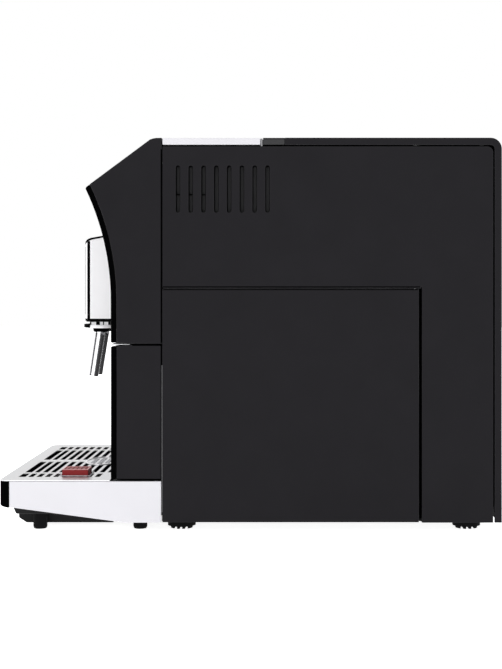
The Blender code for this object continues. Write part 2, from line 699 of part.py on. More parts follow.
def cup_grid():
    low, high = TRAY_TOP - GRID_SHEET, TRAY_TOP
    grid = slab("cup_grid", rounded_front(0.0080, COLUMN_FRONT - 0.0010), "Z", low, high, STEEL)
    turns = [math.tau * i / 32 for i in range(32)]
    oval = [(0.0030 + 0.0310 * math.cos(t), -0.1500 + 0.0160 * math.sin(t)) for t in turns]
    plate = slab("grid_plate", oval, "Z", low + 0.0001, high - 0.0001)
    cut(grid, boxes("grid_slots", grid_slots()))
    x, y = FLOAT_AT
    wide, deep = FLOAT_HALF
    margin = 0.0022
    collar = box(
        "float_collar",
        (x - wide - margin, y - deep - margin, low + 0.0001),
        (x + wide + margin, y + deep + margin, high - 0.0001),
    )
    join(grid, plate, collar)
    for row, count in ((-0.0070, 4), (0.0, 5), (0.0070, 4)):
        for i in range(count):
            across = 0.0030 + (i - (count - 1) / 2) * 0.0095
            cut(grid, round_bar("plate_hole", (across, -0.1500 + row, TRAY_TOP), 0.0019, 0.02, sides=10))
    cut(grid, box("float_hole", (x - wide - 0.0010, y - deep - 0.0010, 0.03), (x + wide + 0.0010, y + deep + 0.0010, 0.06)))


def tray_float():
    x, y = FLOAT_AT
    wide, deep = FLOAT_HALF
    cap = box("tray_float", (x - wide, y - deep, 0.0330), (x + wide, y + deep, FLOAT_TOP), RED, (x, y, 0.0))
    join(cap, box("float_skirt", (x - wide - 0.0040, y - deep - 0.0040, 0.0240), (x + wide + 0.0040, y + deep + 0.0040, 0.0340)))
    cut(cap, box("float_hollow", (x - wide + 0.0020, y - deep + 0.0020, 0.0200), (x + wide - 0.0020, y + deep - 0.0020, FLOAT_TOP - 0.0020)))


def tray_feet():
    for end, y, high in (("front", -0.1906, 0.0156), ("rear", -0.0992, 0.0156)):
        for side, x in (("left", -0.1170), ("right", 0.1170)):
            foot = round_bar(f"tray_foot_{end}_{side}", (x, y, high / 2 + 0.0010), 0.0064, high - 0.0020, RUBBER, sides=20)
            join(foot, round_bar(f"tray_sole_{end}_{side}", (x, y, 0.0010), 0.0056, 0.0020, sides=20, tip=0.0064))


def drawer_front():
    low, top = TRAY_TOP + 0.0002, DRAWER_TOP
    panel = box("drawer_front", (-DRAWER_HALF, COLUMN_FRONT, low), (DRAWER_HALF, -0.1192, top), BLACK_GLOSS)
    cut(panel, box("drawer_grip", (-0.0350, -0.13, top - 0.0100), (0.0350, -0.1209, top + 0.01)))


def grounds_container():
    bin_box = box("grounds_container", (-0.1010, -0.1188, 0.0446), (0.1010, -0.0220, 0.0990), GREY)
    cut(bin_box, box("container_hollow", (-0.0990, -0.1168, 0.0466), (0.0990, -0.0240, 0.12)))


# ---------------------------------------------------------------- water tank
def water_tank():
    tank = box("water_tank", (-0.1125, 0.1590, 0.1500), (0.1125, 0.2115, 0.3450), SMOKE)
    join(tank, box("tank_collar", (-0.1160, 0.1530, 0.3420), (0.1160, 0.2155, 0.3540)))
    cut(
        tank,
        box("tank_inside", (-0.1100, 0.1615, 0.1525), (0.1100, 0.2090, 0.40)),
        box("tank_lid_pocket", (-0.1128, 0.1562, 0.3498), (0.1128, 0.2125, 0.40)),
        round_bar("tank_lid_seat", (0.0, *TANK_LID_AXIS), 0.0014, 0.2290, axis="X", sides=10),
    )
    join(tank, round_bar("tank_valve", (0.0, 0.1850, 0.1460), 0.0080, 0.0100, sides=20))


def tank_lid():
    hinge = (0.0, *TANK_LID_AXIS)
    lid = box("tank_lid", (-0.1120, 0.1570, 0.3508), (0.1120, 0.2115, 0.3538), CHARCOAL, hinge)
    join(lid, round_bar("tank_lid_pin", (0.0, *TANK_LID_AXIS), 0.0010, 0.2280, axis="X", sides=10))
    cut(lid, box("tank_lid_grip", (-0.0300, 0.1550, 0.3520), (0.0300, 0.1630, 0.36)))


def tank_shelf():
    shelf = box("tank_shelf", (-0.1364, 0.1576, 0.1400), (0.1364, 0.2246, 0.1494), BLACK_PLASTIC)
    join(shelf, round_bar("tank_cup", (0.0, 0.1850, 0.1340), 0.0130, 0.0160, sides=24))
    cut(
        shelf,
        round_bar("tank_cup_hollow", (0.0, 0.1850, 0.1480), 0.0095, 0.0200, sides=24),
        round_bar("tank_cup_outlet", (0.0, 0.1850, 0.1350), 0.0030, 0.0300, sides=12),
    )


# ---------------------------------------------------------------- brewing works
def inner_frame():
    frame = box("inner_frame", (0.0080, -0.0090, 0.0120), (0.0105, 0.1530, 0.2270), GREY)
    join(
        frame,
        box("frame_rear_wall", (0.0090, 0.1510, 0.0120), (0.1270, 0.1530, 0.2260)),
        box("frame_ceiling", (0.0090, -0.0710, 0.2240), (0.1366, 0.1525, 0.2265)),
        box("frame_hinge_arm", (0.1250, 0.1440, 0.2192), (0.1368, 0.1528, 0.2250)),
    )
    grinder_shelf = box("frame_grinder_shelf", (-0.0650, -0.0680, 0.2573), (0.0100, 0.0050, 0.2597))
    web = box("frame_grinder_web", (0.0080, -0.0710, 0.2250), (0.0105, 0.0300, 0.2597))
    join(frame, grinder_shelf, web)
    cut(
        frame,
        round_bar("frame_rod_hole", (*DOOR_AXIS, 0.2190), 0.0018, 0.0100, sides=12),
        round_bar("frame_shaft_hole", (*GRINDER_AT, 0.2585), 0.0055, 0.0100, sides=16),
    )


def brew_frame():
    frame = box("brew_frame", (0.0350, -0.0020, 0.0300), (0.1230, 0.1180, 0.2030), BLACK_PLASTIC)
    join(frame, box("brew_foot_inner", (0.0350, -0.0020, 0.0120), (0.0390, 0.0580, 0.0310)))
    join(frame, box("brew_foot_outer", (0.1190, -0.0020, 0.0120), (0.1230, 0.0580, 0.0310)))
    cut(
        frame,
        box("brew_cavity", (0.0390, 0.0020, 0.0380), (0.1300, 0.1140, 0.1950)),
        box("puck_exit", (0.0500, -0.0070, 0.0450), (0.1100, 0.0080, 0.1050)),
        round_bar("screw_clearance", (*SCREW_AT, 0.0340), 0.0050, 0.0200, sides=20),
        round_bar("inlet_hole", (*CHAMBER_AT, 0.2000), 0.0066, 0.0200, sides=20),
    )


def brew_piston():
    piston = round_bar("brew_piston", (*CHAMBER_AT, 0.1430), 0.0205, 0.0160, WHITE, sides=32)
    join(piston, round_bar("piston_stem", (*CHAMBER_AT, 0.1780), 0.0060, 0.0600, sides=20))


def brew_chamber():
    x, y = CHAMBER_AT
    chamber = round_bar("brew_chamber", (x, y, 0.0870), 0.0240, 0.0540, WHITE, sides=32, origin=(x, y, 0.0))
    join(chamber, box("chamber_arm", (x - 0.0080, y + 0.0190, 0.0640), (x + 0.0080, y + 0.0530, 0.0780)))
    cut(
        chamber,
        round_bar("chamber_bore", (x, y, 0.0950), 0.0212, 0.0600, sides=32),
        round_bar("nut_bore", (*SCREW_AT, 0.0700), SCREW_R + 0.0006, 0.0400, sides=20),
    )


def brew_screw():
    x, y = SCREW_AT
    screw = round_bar("brew_screw", (x, y, 0.1105), SCREW_R, 0.1675, STEEL, sides=20, origin=(x, y, 0.0))
    cut(screw, box("screw_flat", (x + 0.0030, y - 0.01, 0.02), (x + 0.01, y + 0.01, 0.0340)))


def brew_motor():
    motor = box("brew_motor", (0.0550, 0.0630, 0.0120), (0.1150, 0.1230, 0.0262), GREY)
    join(motor, round_bar("motor_can", (0.0370, 0.0930, 0.0204), 0.0082, 0.0440, axis="X", sides=20))


def thermoblock():
    block = box("thermoblock", (-0.1250, 0.0330, 0.0350), (-0.0750, 0.1130, 0.1350), ALUMINIUM)
    fins = [((-0.1300, 0.0430 + 0.012 * i, 0.0300), (-0.1150, 0.0470 + 0.012 * i, 0.1400)) for i in range(6)]
    cut(block, boxes("block_fins", fins))
    for i, x in enumerate((-0.1100, -0.0800)):
        join(block, box(f"block_leg_{i}", (x - 0.0020, 0.0400, 0.0120), (x + 0.0020, 0.1060, 0.0360)))
    join(
        block,
        round_bar("block_inlet", (-0.1000, 0.0530, 0.1400), 0.0050, 0.0160, sides=16),
        round_bar("block_outlet", (-0.1000, 0.0930, 0.1400), 0.0050, 0.0160, sides=16),
    )


def pump():
    body = round_bar("pump", (-0.0350, 0.0780, 0.0450), 0.0180, 0.0500, BLACK_PLASTIC, axis="Y", sides=24)
    join(
        body,
        box("pump_coil", (-0.0580, 0.0650, 0.0240), (-0.0120, 0.0910, 0.0660)),
        box("pump_foot", (-0.0500, 0.0680, 0.0120), (-0.0200, 0.0880, 0.0250)),
        round_bar("pump_inlet", (-0.0350, 0.1110, 0.0450), 0.0045, 0.0200, axis="Y", sides=16),
        round_bar("pump_outlet", (-0.0350, 0.0450, 0.0450), 0.0055, 0.0200, axis="Y", sides=16),
    )


def power_board():
    board = box("power_board", (-0.1350, -0.0670, 0.0600), (-0.1334, 0.0180, 0.2700), BOARD)
    parts = [
        ((-0.1340, -0.0570, 0.0700), (-0.1050, -0.0220, 0.1100)),
        ((-0.1340, -0.0120, 0.0700), (-0.1150, 0.0080, 0.1000)),
        ((-0.1340, -0.0570, 0.1250), (-0.1200, -0.0370, 0.1500)),
        ((-0.1340, -0.0220, 0.1300), (-0.1250, 0.0080, 0.1700)),
        ((-0.1340, -0.0470, 0.2000), (-0.1270, 0.0030, 0.2300)),
    ]
    for i, (low, high) in enumerate(parts):
        join(board, box(f"board_component_{i}", low, high))
    join(board, round_bar("board_capacitor", (-0.1240, -0.0470, 0.1800), 0.0090, 0.0200, axis="X", sides=16))
    for i, (y, z) in enumerate(((-0.0620, 0.0650), (0.0130, 0.0650), (-0.0620, 0.2650), (0.0130, 0.2650))):
        join(board, round_bar(f"board_standoff_{i}", (-0.1359, y, z), 0.0030, 0.0025, axis="X", sides=10))


def grinder_body():
    x, y = GRINDER_AT
    body = round_bar("grinder_body", (x, y, 0.2800), 0.0330, 0.0400, GREY, sides=32)
    join(body, box("grind_chute", (x + 0.0200, y - 0.0100, 0.2640), (x + 0.0600, y + 0.0100, 0.2780)))
    cut(
        body,
        round_bar("grind_chamber", (x, y, 0.2870), 0.0300, 0.0340, sides=32),
        round_bar("grinder_shaft_hole", (x, y, 0.2650), 0.0055, 0.0200, sides=16),
        box("chute_bore", (x + 0.0100, y - 0.0080, 0.2705), (x + 0.0570, y + 0.0080, 0.2765)),
        box("chute_drop", (x + 0.0470, y - 0.0080, 0.2600), (x + 0.0570, y + 0.0080, 0.2750)),
    )


def grinder_motor():
    x, y = GRINDER_AT
    motor = round_bar("grinder_motor", (x, y, 0.2150), 0.0300, 0.0840, STEEL, sides=28)
    join(motor, round_bar("motor_cap", (x, y, 0.1690), 0.0230, 0.0120, sides=24))


def upper_burr():
    x, y = GRINDER_AT
    ring = round_bar("upper_burr", (x, y, 0.2920), 0.0290, 0.0120, STEEL, sides=32)
    cut(ring, round_bar("burr_throat", (x, y, 0.2920), 0.0255, 0.0140, tip=0.0170, sides=32))


def lower_burr():
    x, y = GRINDER_AT
    burr = round_bar("lower_burr", (x, y, 0.2900), 0.0240, 0.0160, STEEL, tip=0.0120, sides=24, origin=(x, y, 0.0))
    join(
        burr,
        round_bar("burr_plate", (x, y, 0.2790), 0.0260, 0.0070, sides=24),
        round_bar("burr_shaft", (x, y, 0.2670), 0.0040, 0.0190, sides=16),
    )


def bean_hopper():
    x, y = GRINDER_AT
    hopper = box("bean_hopper", (-0.1142, -0.0652, 0.3200), (0.0742, -0.0008, 0.3480), SMOKE)
    join(hopper, round_bar("hopper_throat", (x, y, 0.3115), 0.0240, 0.0210, sides=28))
    cut(
        hopper,
        box("hopper_inside", (-0.1120, -0.0630, 0.3222), (0.0720, -0.0030, 0.36)),
        round_bar("throat_bore", (x, y, 0.3120), 0.0210, 0.0400, sides=28),
    )


def hoses():
    suction = [
        (0.0, 0.1850, 0.1255),
        (0.0, 0.1850, 0.1100),
        (-0.0050, 0.1810, 0.0850),
        (-0.0250, 0.1630, 0.0580),
        (-0.0350, 0.1430, 0.0450),
        (-0.0350, 0.1215, 0.0450),
    ]
    pressure = [
        (-0.0350, 0.0345, 0.0450),
        (-0.0350, 0.0180, 0.0470),
        (-0.0420, 0.0030, 0.0700),
        (-0.0600, 0.0010, 0.1200),
        (-0.0850, 0.0230, 0.1620),
        (-0.0990, 0.0500, 0.1660),
        (-0.1000, 0.0530, 0.1580),
        (-0.1000, 0.0530, 0.1492),
    ]
    brew = [
        (-0.1000, 0.0930, 0.1497),
        (-0.1000, 0.0930, 0.1600),
        (-0.0800, 0.0980, 0.2050),
        (-0.0300, 0.1030, 0.2400),
        (0.0300, 0.0830, 0.2420),
        (0.0700, 0.0590, 0.2400),
    ]
    pipe("suction_hose", suction, 0.0035, HOSE)
    pipe("pressure_hose", pressure, 0.0030, HOSE)
    pipe("brew_hose", brew, 0.0030, HOSE)


# ---------------------------------------------------------------- mains
def power_inlet():
    inlet = box("power_inlet", (-0.1015, 0.1990, 0.0285), (-0.0485, REAR - 0.0004, 0.0615), BLACK_PLASTIC)
    socket = [
        (-0.0865, 0.0375),
        (-0.0635, 0.0375),
        (-0.0635, 0.0495),
        (-0.0675, 0.0535),
        (-0.0825, 0.0535),
        (-0.0865, 0.0495),
    ]
    cut(inlet, slab("inlet_socket", socket, "Y", 0.2110, 0.2400))
    for i, (x, z) in enumerate(((-0.0820, 0.0430), (-0.0750, 0.0480), (-0.0680, 0.0430))):
        join(inlet, box(f"inlet_pin_{i}", (x - 0.0010, 0.2090, z - 0.0020), (x + 0.0010, 0.2250, z + 0.0020)))


def power_switch():
    outline = [(0.0052, 0.0090), (0.0032, 0.0000), (0.0052, -0.0090), (-0.0020, -0.0086), (-0.0050, 0.0), (-0.0020, 0.0086)]
    rocker = slab("power_switch", outline, "X", -0.0090, 0.0090, BLACK_PLASTIC)
    rocker.location = SWITCH_AT
    rocker.rotation_euler = (math.radians(-7), 0.0, 0.0)


BUILDERS = (
    base_pan, side_panel_left, side_panel_right, service_door, hinge_rod, rear_shell, top_crossbar, top_deck,
    hopper_lid, grind_knob, body_feet, head_housing, display_glass, power_button, front_fascia, spout_rails,
    lower_housing, lower_fascia, spout_cover, spout_carriage, spout_flange, spout_nozzles, tray_trim,
    tray_front_bar, tray_pan, cup_grid, tray_float, tray_feet, drawer_front, grounds_container, water_tank,
    tank_lid, tank_shelf, inner_frame, brew_frame, brew_piston, brew_chamber, brew_screw, brew_motor,
    thermoblock, pump, power_board, grinder_body, grinder_motor, upper_burr, lower_burr, bean_hopper, hoses,
    power_inlet, power_switch,
)
for build in BUILDERS:
    build()
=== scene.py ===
"""Looks of the bean-to-cup espresso machine: materials, fine detail, light and camera around the CAD frame.

Metres, +Z up, front towards -Y, service door on +X.
"""

import json
import math

import bmesh
import bpy
from mathutils import Matrix, Vector


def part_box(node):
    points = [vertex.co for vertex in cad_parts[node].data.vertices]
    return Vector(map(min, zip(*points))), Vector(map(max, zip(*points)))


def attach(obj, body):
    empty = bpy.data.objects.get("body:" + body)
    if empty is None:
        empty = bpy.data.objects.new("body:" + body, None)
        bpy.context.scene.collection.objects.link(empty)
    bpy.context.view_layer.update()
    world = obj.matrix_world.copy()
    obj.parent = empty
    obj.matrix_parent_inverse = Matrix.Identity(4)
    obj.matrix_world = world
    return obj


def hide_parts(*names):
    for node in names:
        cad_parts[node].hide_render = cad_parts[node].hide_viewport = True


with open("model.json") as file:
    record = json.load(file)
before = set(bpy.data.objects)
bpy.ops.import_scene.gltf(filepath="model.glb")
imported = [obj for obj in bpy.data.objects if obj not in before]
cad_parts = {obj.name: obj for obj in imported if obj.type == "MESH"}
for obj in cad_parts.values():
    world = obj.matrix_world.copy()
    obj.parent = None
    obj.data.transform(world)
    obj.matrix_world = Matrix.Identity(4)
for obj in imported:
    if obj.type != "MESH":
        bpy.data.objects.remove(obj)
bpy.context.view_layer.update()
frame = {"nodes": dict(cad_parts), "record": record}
NODES = frame["nodes"]
BODY_OF = {node: body for body, members in frame["record"]["behaviour"]["bodies"].items() for node in members}

# ---------------- driving dimensions
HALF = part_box("top_deck")[1].x
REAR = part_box("rear_shell")[1].y
BACK = REAR + 0.0001  # where pieces stand on the rear panel
GRID_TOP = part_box("cup_grid")[1].z
DECK_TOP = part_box("top_deck")[1].z

CAMERA_AT = (1.39, 0.0453, 0.2214)
CAMERA_LENS = 74.88
CAMERA_SHIFT = (-0.07075, -0.0727)
SENSOR_HEIGHT = 36.0

SHARP = math.radians(32)  # edges bent more than this stay sharp, or are eased
MERGE_DISTANCE = 0.000002
FLAT_ANGLE = math.radians(0.4)  # faces this close to flat become one
WEAR_WIDTH = 0.0006
TONE_SCALE = 22.0
EDGE_HIGH = 0.00006  # how far the edge lines of painted shade stand off the panels
SIDES = (("left", -1), ("right", 1))


# ---------------- node material helpers
def new_material(name):
    made = bpy.data.materials.new(name)
    made.use_nodes = True
    return made, made.node_tree, made.node_tree.nodes["Principled BSDF"]


def noise(tree, coordinates, scale, detail=3.0, rough=0.55):
    node = tree.nodes.new("ShaderNodeTexNoise")
    node.inputs["Scale"].default_value = scale
    node.inputs["Detail"].default_value = detail
    node.inputs["Roughness"].default_value = rough
    tree.links.new(coordinates, node.inputs["Vector"])
    return node.outputs["Fac"]


def remap(tree, value, low, high, out_low, out_high):
    node = tree.nodes.new("ShaderNodeMapRange")
    node.inputs["From Min"].default_value = low
    node.inputs["From Max"].default_value = high
    node.inputs["To Min"].default_value = out_low
    node.inputs["To Max"].default_value = out_high
    tree.links.new(value, node.inputs["Value"])
    return node.outputs["Result"]


def maths(tree, operation, first, second):
    node = tree.nodes.new("ShaderNodeMath")
    node.operation = operation
    for socket, value in zip(node.inputs, (first, second)):
        if isinstance(value, (int, float)):
            socket.default_value = value
        else:
            tree.links.new(value, socket)
    return node.outputs["Value"]


def mix_colours(tree, factor, first, second):
    node = tree.nodes.new("ShaderNodeMix")
    node.data_type = "RGBA"
    tree.links.new(factor, node.inputs["Factor"])
    for socket, value in ((node.inputs["A"], first), (node.inputs["B"], second)):
        if isinstance(value, tuple):
            socket.default_value = (*value, 1.0)
        else:
            tree.links.new(value, socket)
    return node.outputs["Result"]


def edge_mask(tree):
    """1 along sharp edges, 0 on open faces."""
    soft = tree.nodes.new("ShaderNodeBevel")
    soft.samples = 4
    soft.inputs["Radius"].default_value = WEAR_WIDTH
    plain = tree.nodes.new("ShaderNodeNewGeometry")
    product = tree.nodes.new("ShaderNodeVectorMath")
    product.operation = "DOT_PRODUCT"
    tree.links.new(soft.outputs["Normal"], product.inputs[0])
    tree.links.new(plain.outputs["Normal"], product.inputs[1])
    return remap(tree, product.outputs["Value"], 0.99, 0.8, 0.0, 1.0)


def surface(
    name,
    colour,
    rough,
    metallic=0.0,
    specular=0.5,
    grain=1200.0,
    depth=0.00002,
    patch=0.1,
    stretch=(1.0, 1.0, 1.0),
    wear=0.0,
    wear_colour=(0.3, 0.3, 0.3),
):
    """A solid's surface: broad tone and roughness variation, a fine grain in relief and worn edges."""
    made, tree, shader = new_material(name)
    shader.inputs["Metallic"].default_value = metallic
    shader.inputs["Specular IOR Level"].default_value = specular
    place = tree.nodes.new("ShaderNodeTexCoord")
    mapping = tree.nodes.new("ShaderNodeMapping")
    mapping.inputs["Scale"].default_value = stretch
    tree.links.new(place.outputs["Object"], mapping.inputs["Vector"])
    broad = noise(tree, mapping.outputs["Vector"], TONE_SCALE, 4.0)
    fine = noise(tree, mapping.outputs["Vector"], grain, 2.0, 0.6)
    darker = tuple(c * (1 - patch) for c in colour)
    lighter = tuple(min(1.0, c * (1 + patch)) for c in colour)
    blend = maths(tree, "ADD", maths(tree, "MULTIPLY", broad, 0.6), maths(tree, "MULTIPLY", fine, 0.4))
    tone = mix_colours(tree, remap(tree, blend, 0.3, 0.7, 0.0, 1.0), darker, lighter)
    if wear:
        edges = maths(tree, "MULTIPLY", edge_mask(tree), remap(tree, broad, 0.35, 0.65, 0.2, wear))
        tone = mix_colours(tree, edges, tone, wear_colour)
    tree.links.new(tone, shader.inputs["Base Color"])
    smoother, rougher = rough * 0.88, min(1.0, rough * 1.12)
    tree.links.new(remap(tree, blend, 0.3, 0.7, smoother, rougher), shader.inputs["Roughness"])
    relief = tree.nodes.new("ShaderNodeBump")
    relief.inputs["Strength"].default_value = 0.5
    relief.inputs["Distance"].default_value = depth
    tree.links.new(fine, relief.inputs["Height"])
    tree.links.new(relief.outputs["Normal"], shader.inputs["Normal"])
    return made


def see_through(name, colour, alpha, rough):
    made = surface(name, colour, rough, grain=90.0, depth=0.0000008, patch=0.06)
    made.node_tree.nodes["Principled BSDF"].inputs["Alpha"].default_value = alpha
    return made


def metal(name, colour, rough, **more):
    return surface(name, colour, rough, metallic=1.0, **more)


def lacquer(name, colour, wear, wear_colour, metallic=0.0):
    return surface(
        name,
        colour,
        0.36,
        metallic=metallic,
        grain=2600.0,
        depth=0.000008,
        patch=0.03,
        wear=wear,
        wear_colour=wear_colour,
    )


def glowing(name, colour, strength):
    """A lit sign behind glass, a little uneven across its face."""
    made, tree, shader = new_material(name)
    place = tree.nodes.new("ShaderNodeTexCoord")
    uneven = noise(tree, place.outputs["Object"], 260.0, 2.0)
    tone = mix_colours(tree, uneven, tuple(c * 0.85 for c in colour), colour)
    tree.links.new(tone, shader.inputs["Base Color"])
    tree.links.new(tone, shader.inputs["Emission Color"])
    shader.inputs["Emission Strength"].default_value = strength
    shader.inputs["Roughness"].default_value = 0.4
    return made


CHARCOAL = surface(
    "charcoal", (0.012, 0.0115, 0.0131), 0.66, specular=0.03, grain=1500.0, depth=0.00003, wear=0.05
)
GLOSS = surface(
    "gloss_black", (0.0006, 0.0006, 0.0007), 0.1, specular=0.3, grain=90.0, depth=0.000006, wear=0.04
)
BLACK = surface("black_plastic", (0.0032, 0.0032, 0.0036), 0.52, specular=0.15, grain=1100.0, depth=0.00004)
DULL_BLACK = surface("dull_black", (0.0004, 0.0004, 0.0005), 0.8, specular=0.01, grain=900.0, patch=0.2)
# Painted light: the spout's lacquer is the tray's silver made brighter, to offset the shade in the spout's
# recess.
BRIGHTENED_SILVER = lacquer("brightened_silver_lacquer", (0.855, 0.85, 0.868), 0.06, (0.6, 0.6, 0.6))
SILVER = lacquer("silver_lacquer", (0.526, 0.521, 0.549), 0.1, (0.5, 0.5, 0.5), metallic=0.05)
STEEL = metal(
    "brushed_steel", (0.64, 0.64, 0.65), 0.3, grain=2400.0, depth=0.00001, patch=0.06, stretch=(0.02, 1, 1)
)
DARK_STEEL = metal("machined_steel", (0.46, 0.46, 0.48), 0.34, grain=900.0, patch=0.12)
CHROME = metal("chrome", (0.86, 0.86, 0.88), 0.15, grain=60.0, depth=0.000001, patch=0.02)
RED = surface(
    "red_plastic",
    (0.27, 0.018, 0.02),
    0.42,
    specular=0.2,
    grain=1300.0,
    depth=0.00004,
    wear=0.25,
    wear_colour=(0.55, 0.06, 0.06),
)
RUBBER = surface("rubber", (0.003, 0.003, 0.0034), 0.8, specular=0.12, grain=1800.0, depth=0.00006)
SMOKE = see_through("smoke_plastic", (0.016, 0.016, 0.018), 0.76, 0.12)
GREY = surface("grey_plastic", (0.023, 0.023, 0.0245), 0.54, specular=0.22, depth=0.00003)
WHITE = surface("white_plastic", (0.66, 0.65, 0.62), 0.46, depth=0.00003, patch=0.05)
ALUMINIUM = metal("cast_aluminium", (0.5, 0.51, 0.53), 0.5, grain=700.0, depth=0.0001, patch=0.14)
BRASS = metal("brass", (0.62, 0.44, 0.16), 0.3, grain=900.0, patch=0.12)
COPPER = metal("copper_wire", (0.6, 0.24, 0.1), 0.35, grain=2400.0, patch=0.16)
BOARD = surface("circuit_board", (0.012, 0.085, 0.028), 0.42, grain=420.0, depth=0.00003, patch=0.3)
HOSE = surface("silicone_hose", (0.6, 0.58, 0.54), 0.36, grain=500.0, depth=0.00001, patch=0.08)
# Painted highlight: pale red for the rim around the float's top.
PALE_RED = surface("pale_red_highlight", (0.62, 0.3, 0.3), 0.4, grain=1300.0, depth=0.00003, patch=0.12)
# Grey for the deck's rear lip, and painted highlight in the seams beside the door.
TRIM_AND_HIGHLIGHT_GREY = surface(
    "trim_and_highlight_grey", (0.185, 0.185, 0.192), 0.45, metallic=0.3, grain=1400.0, depth=0.00001, patch=0.06
)
# Painted highlight in the seam between head and column.
PALE_HIGHLIGHT = surface(
    "pale_highlight", (0.46, 0.46, 0.48), 0.45, metallic=0.1, grain=1400.0, depth=0.00001, patch=0.06
)
PRINT = surface("pale_print", (0.55, 0.56, 0.58), 0.5, grain=900.0, depth=0.000004, patch=0.05)
LIT_WHITE = glowing("lit_white", (0.85, 0.92, 1.0), 0.9)
LIT_AMBER = glowing("lit_amber", (1.0, 0.45, 0.08), 0.8)


# ---------------- mesh helpers
def show(name, mesh, body, material, bevel=0.0):
    """Links a mesh given in world space as a finished piece that rides on a CAD body."""
    mesh.name = name
    mesh.shade_smooth()
    mesh.set_sharp_from_angle(angle=SHARP)
    mesh.materials.clear()
    mesh.materials.append(material)
    made = bpy.data.objects.new(name, mesh)
    bpy.context.scene.collection.objects.link(made)
    if bevel:
        edge = made.modifiers.new("edges", "BEVEL")
        edge.width = bevel
        edge.segments = 2
        edge.limit_method = "ANGLE"
        edge.angle_limit = SHARP
        edge.harden_normals = True
    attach(made, body)
    return made


def mesh_of(build):
    shape = bmesh.new()
    build(shape)
    bmesh.ops.recalc_face_normals(shape, faces=shape.faces)
    mesh = bpy.data.meshes.new("shape")
    shape.to_mesh(mesh)
    shape.free()
    return mesh


def piece(name, body, material, build, bevel=0.0):
    return show(name, mesh_of(build), body, material, bevel)


def made_of(name, body, material, add, calls, bevel=0.0):
    """One piece made by calling a shape function with each set of values."""

    def build(shape):
        for values in calls:
            add(shape, *values)

    return piece(name, body, material, build, bevel)


def blocks(name, body, material, spans, bevel=0.0):
    """One piece made of plain blocks, each given by its low and high corners."""
    return made_of(name, body, material, add_block, spans, bevel)


def add_block_at(shape, place, low, high):
    """A block in a local frame."""
    low, high = Vector(low), Vector(high)
    size = Matrix.Diagonal((*(high - low), 1.0))
    bmesh.ops.create_cube(shape, size=1.0, matrix=place @ Matrix.Translation((low + high) / 2) @ size)


def add_block(shape, low, high):
    add_block_at(shape, Matrix.Identity(4), low, high)


def bridge(shape, *rings):
    """Skins a row of rings of points; a ring of one point is a tip."""
    for lower, upper in zip(rings, rings[1:]):
        for i in range(max(len(lower), len(upper))):
            j = i + 1
            corners = (
                lower[i % len(lower)],
                lower[j % len(lower)],
                upper[j % len(upper)],
                upper[i % len(upper)],
            )
            unique = list(dict.fromkeys(corners))
            if len(unique) > 2:
                shape.faces.new(unique)


def close_off(shape, *rings):
    """Skins a row of rings and closes both ends."""
    bridge(shape, *rings)
    shape.faces.new(rings[0])
    shape.faces.new(rings[-1])


def place_at(at, axis):
    """A frame whose local Z points along the axis."""
    return Matrix.Translation(at) @ Vector(axis).to_track_quat("Z", "Y").to_matrix().to_4x4()


def upright(x, y):
    return Matrix.Translation((x, y, 0.0))


def turned_by(degrees, axis="Z"):
    return Matrix.Rotation(math.radians(degrees), 4, axis)


def add_bar(shape, centre, radius, length, lying=False, sides=24):
    """A round bar along Z, or along X when lying."""
    place = Matrix.Translation(centre) @ turned_by(90 if lying else 0, "Y")
    bmesh.ops.create_cone(
        shape,
        cap_ends=True,
        segments=sides,
        radius1=radius,
        radius2=radius,
        depth=length,
        matrix=place,
    )


def add_turned(shape, profile, place, sides=32):
    """Revolves (radius, height) points about the local Z axis; a radius of 0 closes the end."""
    rings = []
    for radius, height in profile:
        count = sides if radius > 0.0 else 1
        turns = [math.tau * i / sides for i in range(count)]
        points = [Vector((radius * math.cos(t), radius * math.sin(t), height)) for t in turns]
        rings.append([shape.verts.new(place @ p) for p in points])
    bridge(shape, *rings)


def band(inner, outer, low, high):
    """The profile of a plain ring, for add_turned."""
    return ((inner, low), (outer, low), (outer, high), (inner, high), (inner, low))


def add_tube(shape, points, radius, sides=10):
    """A round wire or hose through the points, with closed ends."""
    points = [Vector(p) for p in points]
    rings = []
    side = None
    for i, at in enumerate(points):
        ahead = (points[min(i + 1, len(points) - 1)] - points[max(i - 1, 0)]).normalized()
        if side is None:
            side = ahead.orthogonal().normalized()
        side = (side - ahead * side.dot(ahead)).normalized()
        up = ahead.cross(side)
        turns = [math.tau * k / sides for k in range(sides)]
        ring = [at + side * radius * math.cos(t) + up * radius * math.sin(t) for t in turns]
        rings.append([shape.verts.new(p) for p in ring])
    close_off(shape, *rings)


def points_at(shape, outline, along, depth):
    """Vertices of a flat outline at a depth along an axis; its points hold the other two coordinates."""
    axis = "XYZ".index(along)
    return [shape.verts.new((*p[:axis], depth, *p[axis:])) for p in outline]


def add_prism(shape, outline, along, low, high):
    """A flat outline stretched along an axis."""
    close_off(shape, points_at(shape, outline, along, low), points_at(shape, outline, along, high))


def add_frame(shape, outer, inner, along, low, high):
    """A ring between two outlines with the same number of points."""
    loops = [points_at(shape, outline, along, depth) for outline in (outer, inner) for depth in (low, high)]
    outer_low, outer_high, inner_low, inner_high = loops
    bridge(shape, outer_low, outer_high, inner_high, inner_low, outer_low)


def smooth_route(route, steps=6):
    knots = [Vector(p) for p in (route[0], *route, route[-1])]
    found = []
    for a, b, c, d in zip(knots, knots[1:], knots[2:], knots[3:]):
        for step in range(steps):
            t = step / steps
            bend = 2 * b + (c - a) * t + (2 * a - 5 * b + 4 * c - d) * t**2
            found.append(0.5 * (bend + (3 * b - a - 3 * c + d) * t**3))
    return [*found, knots[-1]]


# ---------------- small shared shapes
def stadium(middle, half, steps=8):
    """A slot outline: middle and half sizes as (across, up)."""
    wide, long = half
    found = []
    for sign, start in ((1, 0.0), (-1, math.pi)):
        for i in range(steps + 1):
            turn = start + math.pi * i / steps
            up = middle[1] + sign * (long - wide) + wide * math.sin(turn)
            found.append((middle[0] + wide * math.cos(turn), up))
    return found


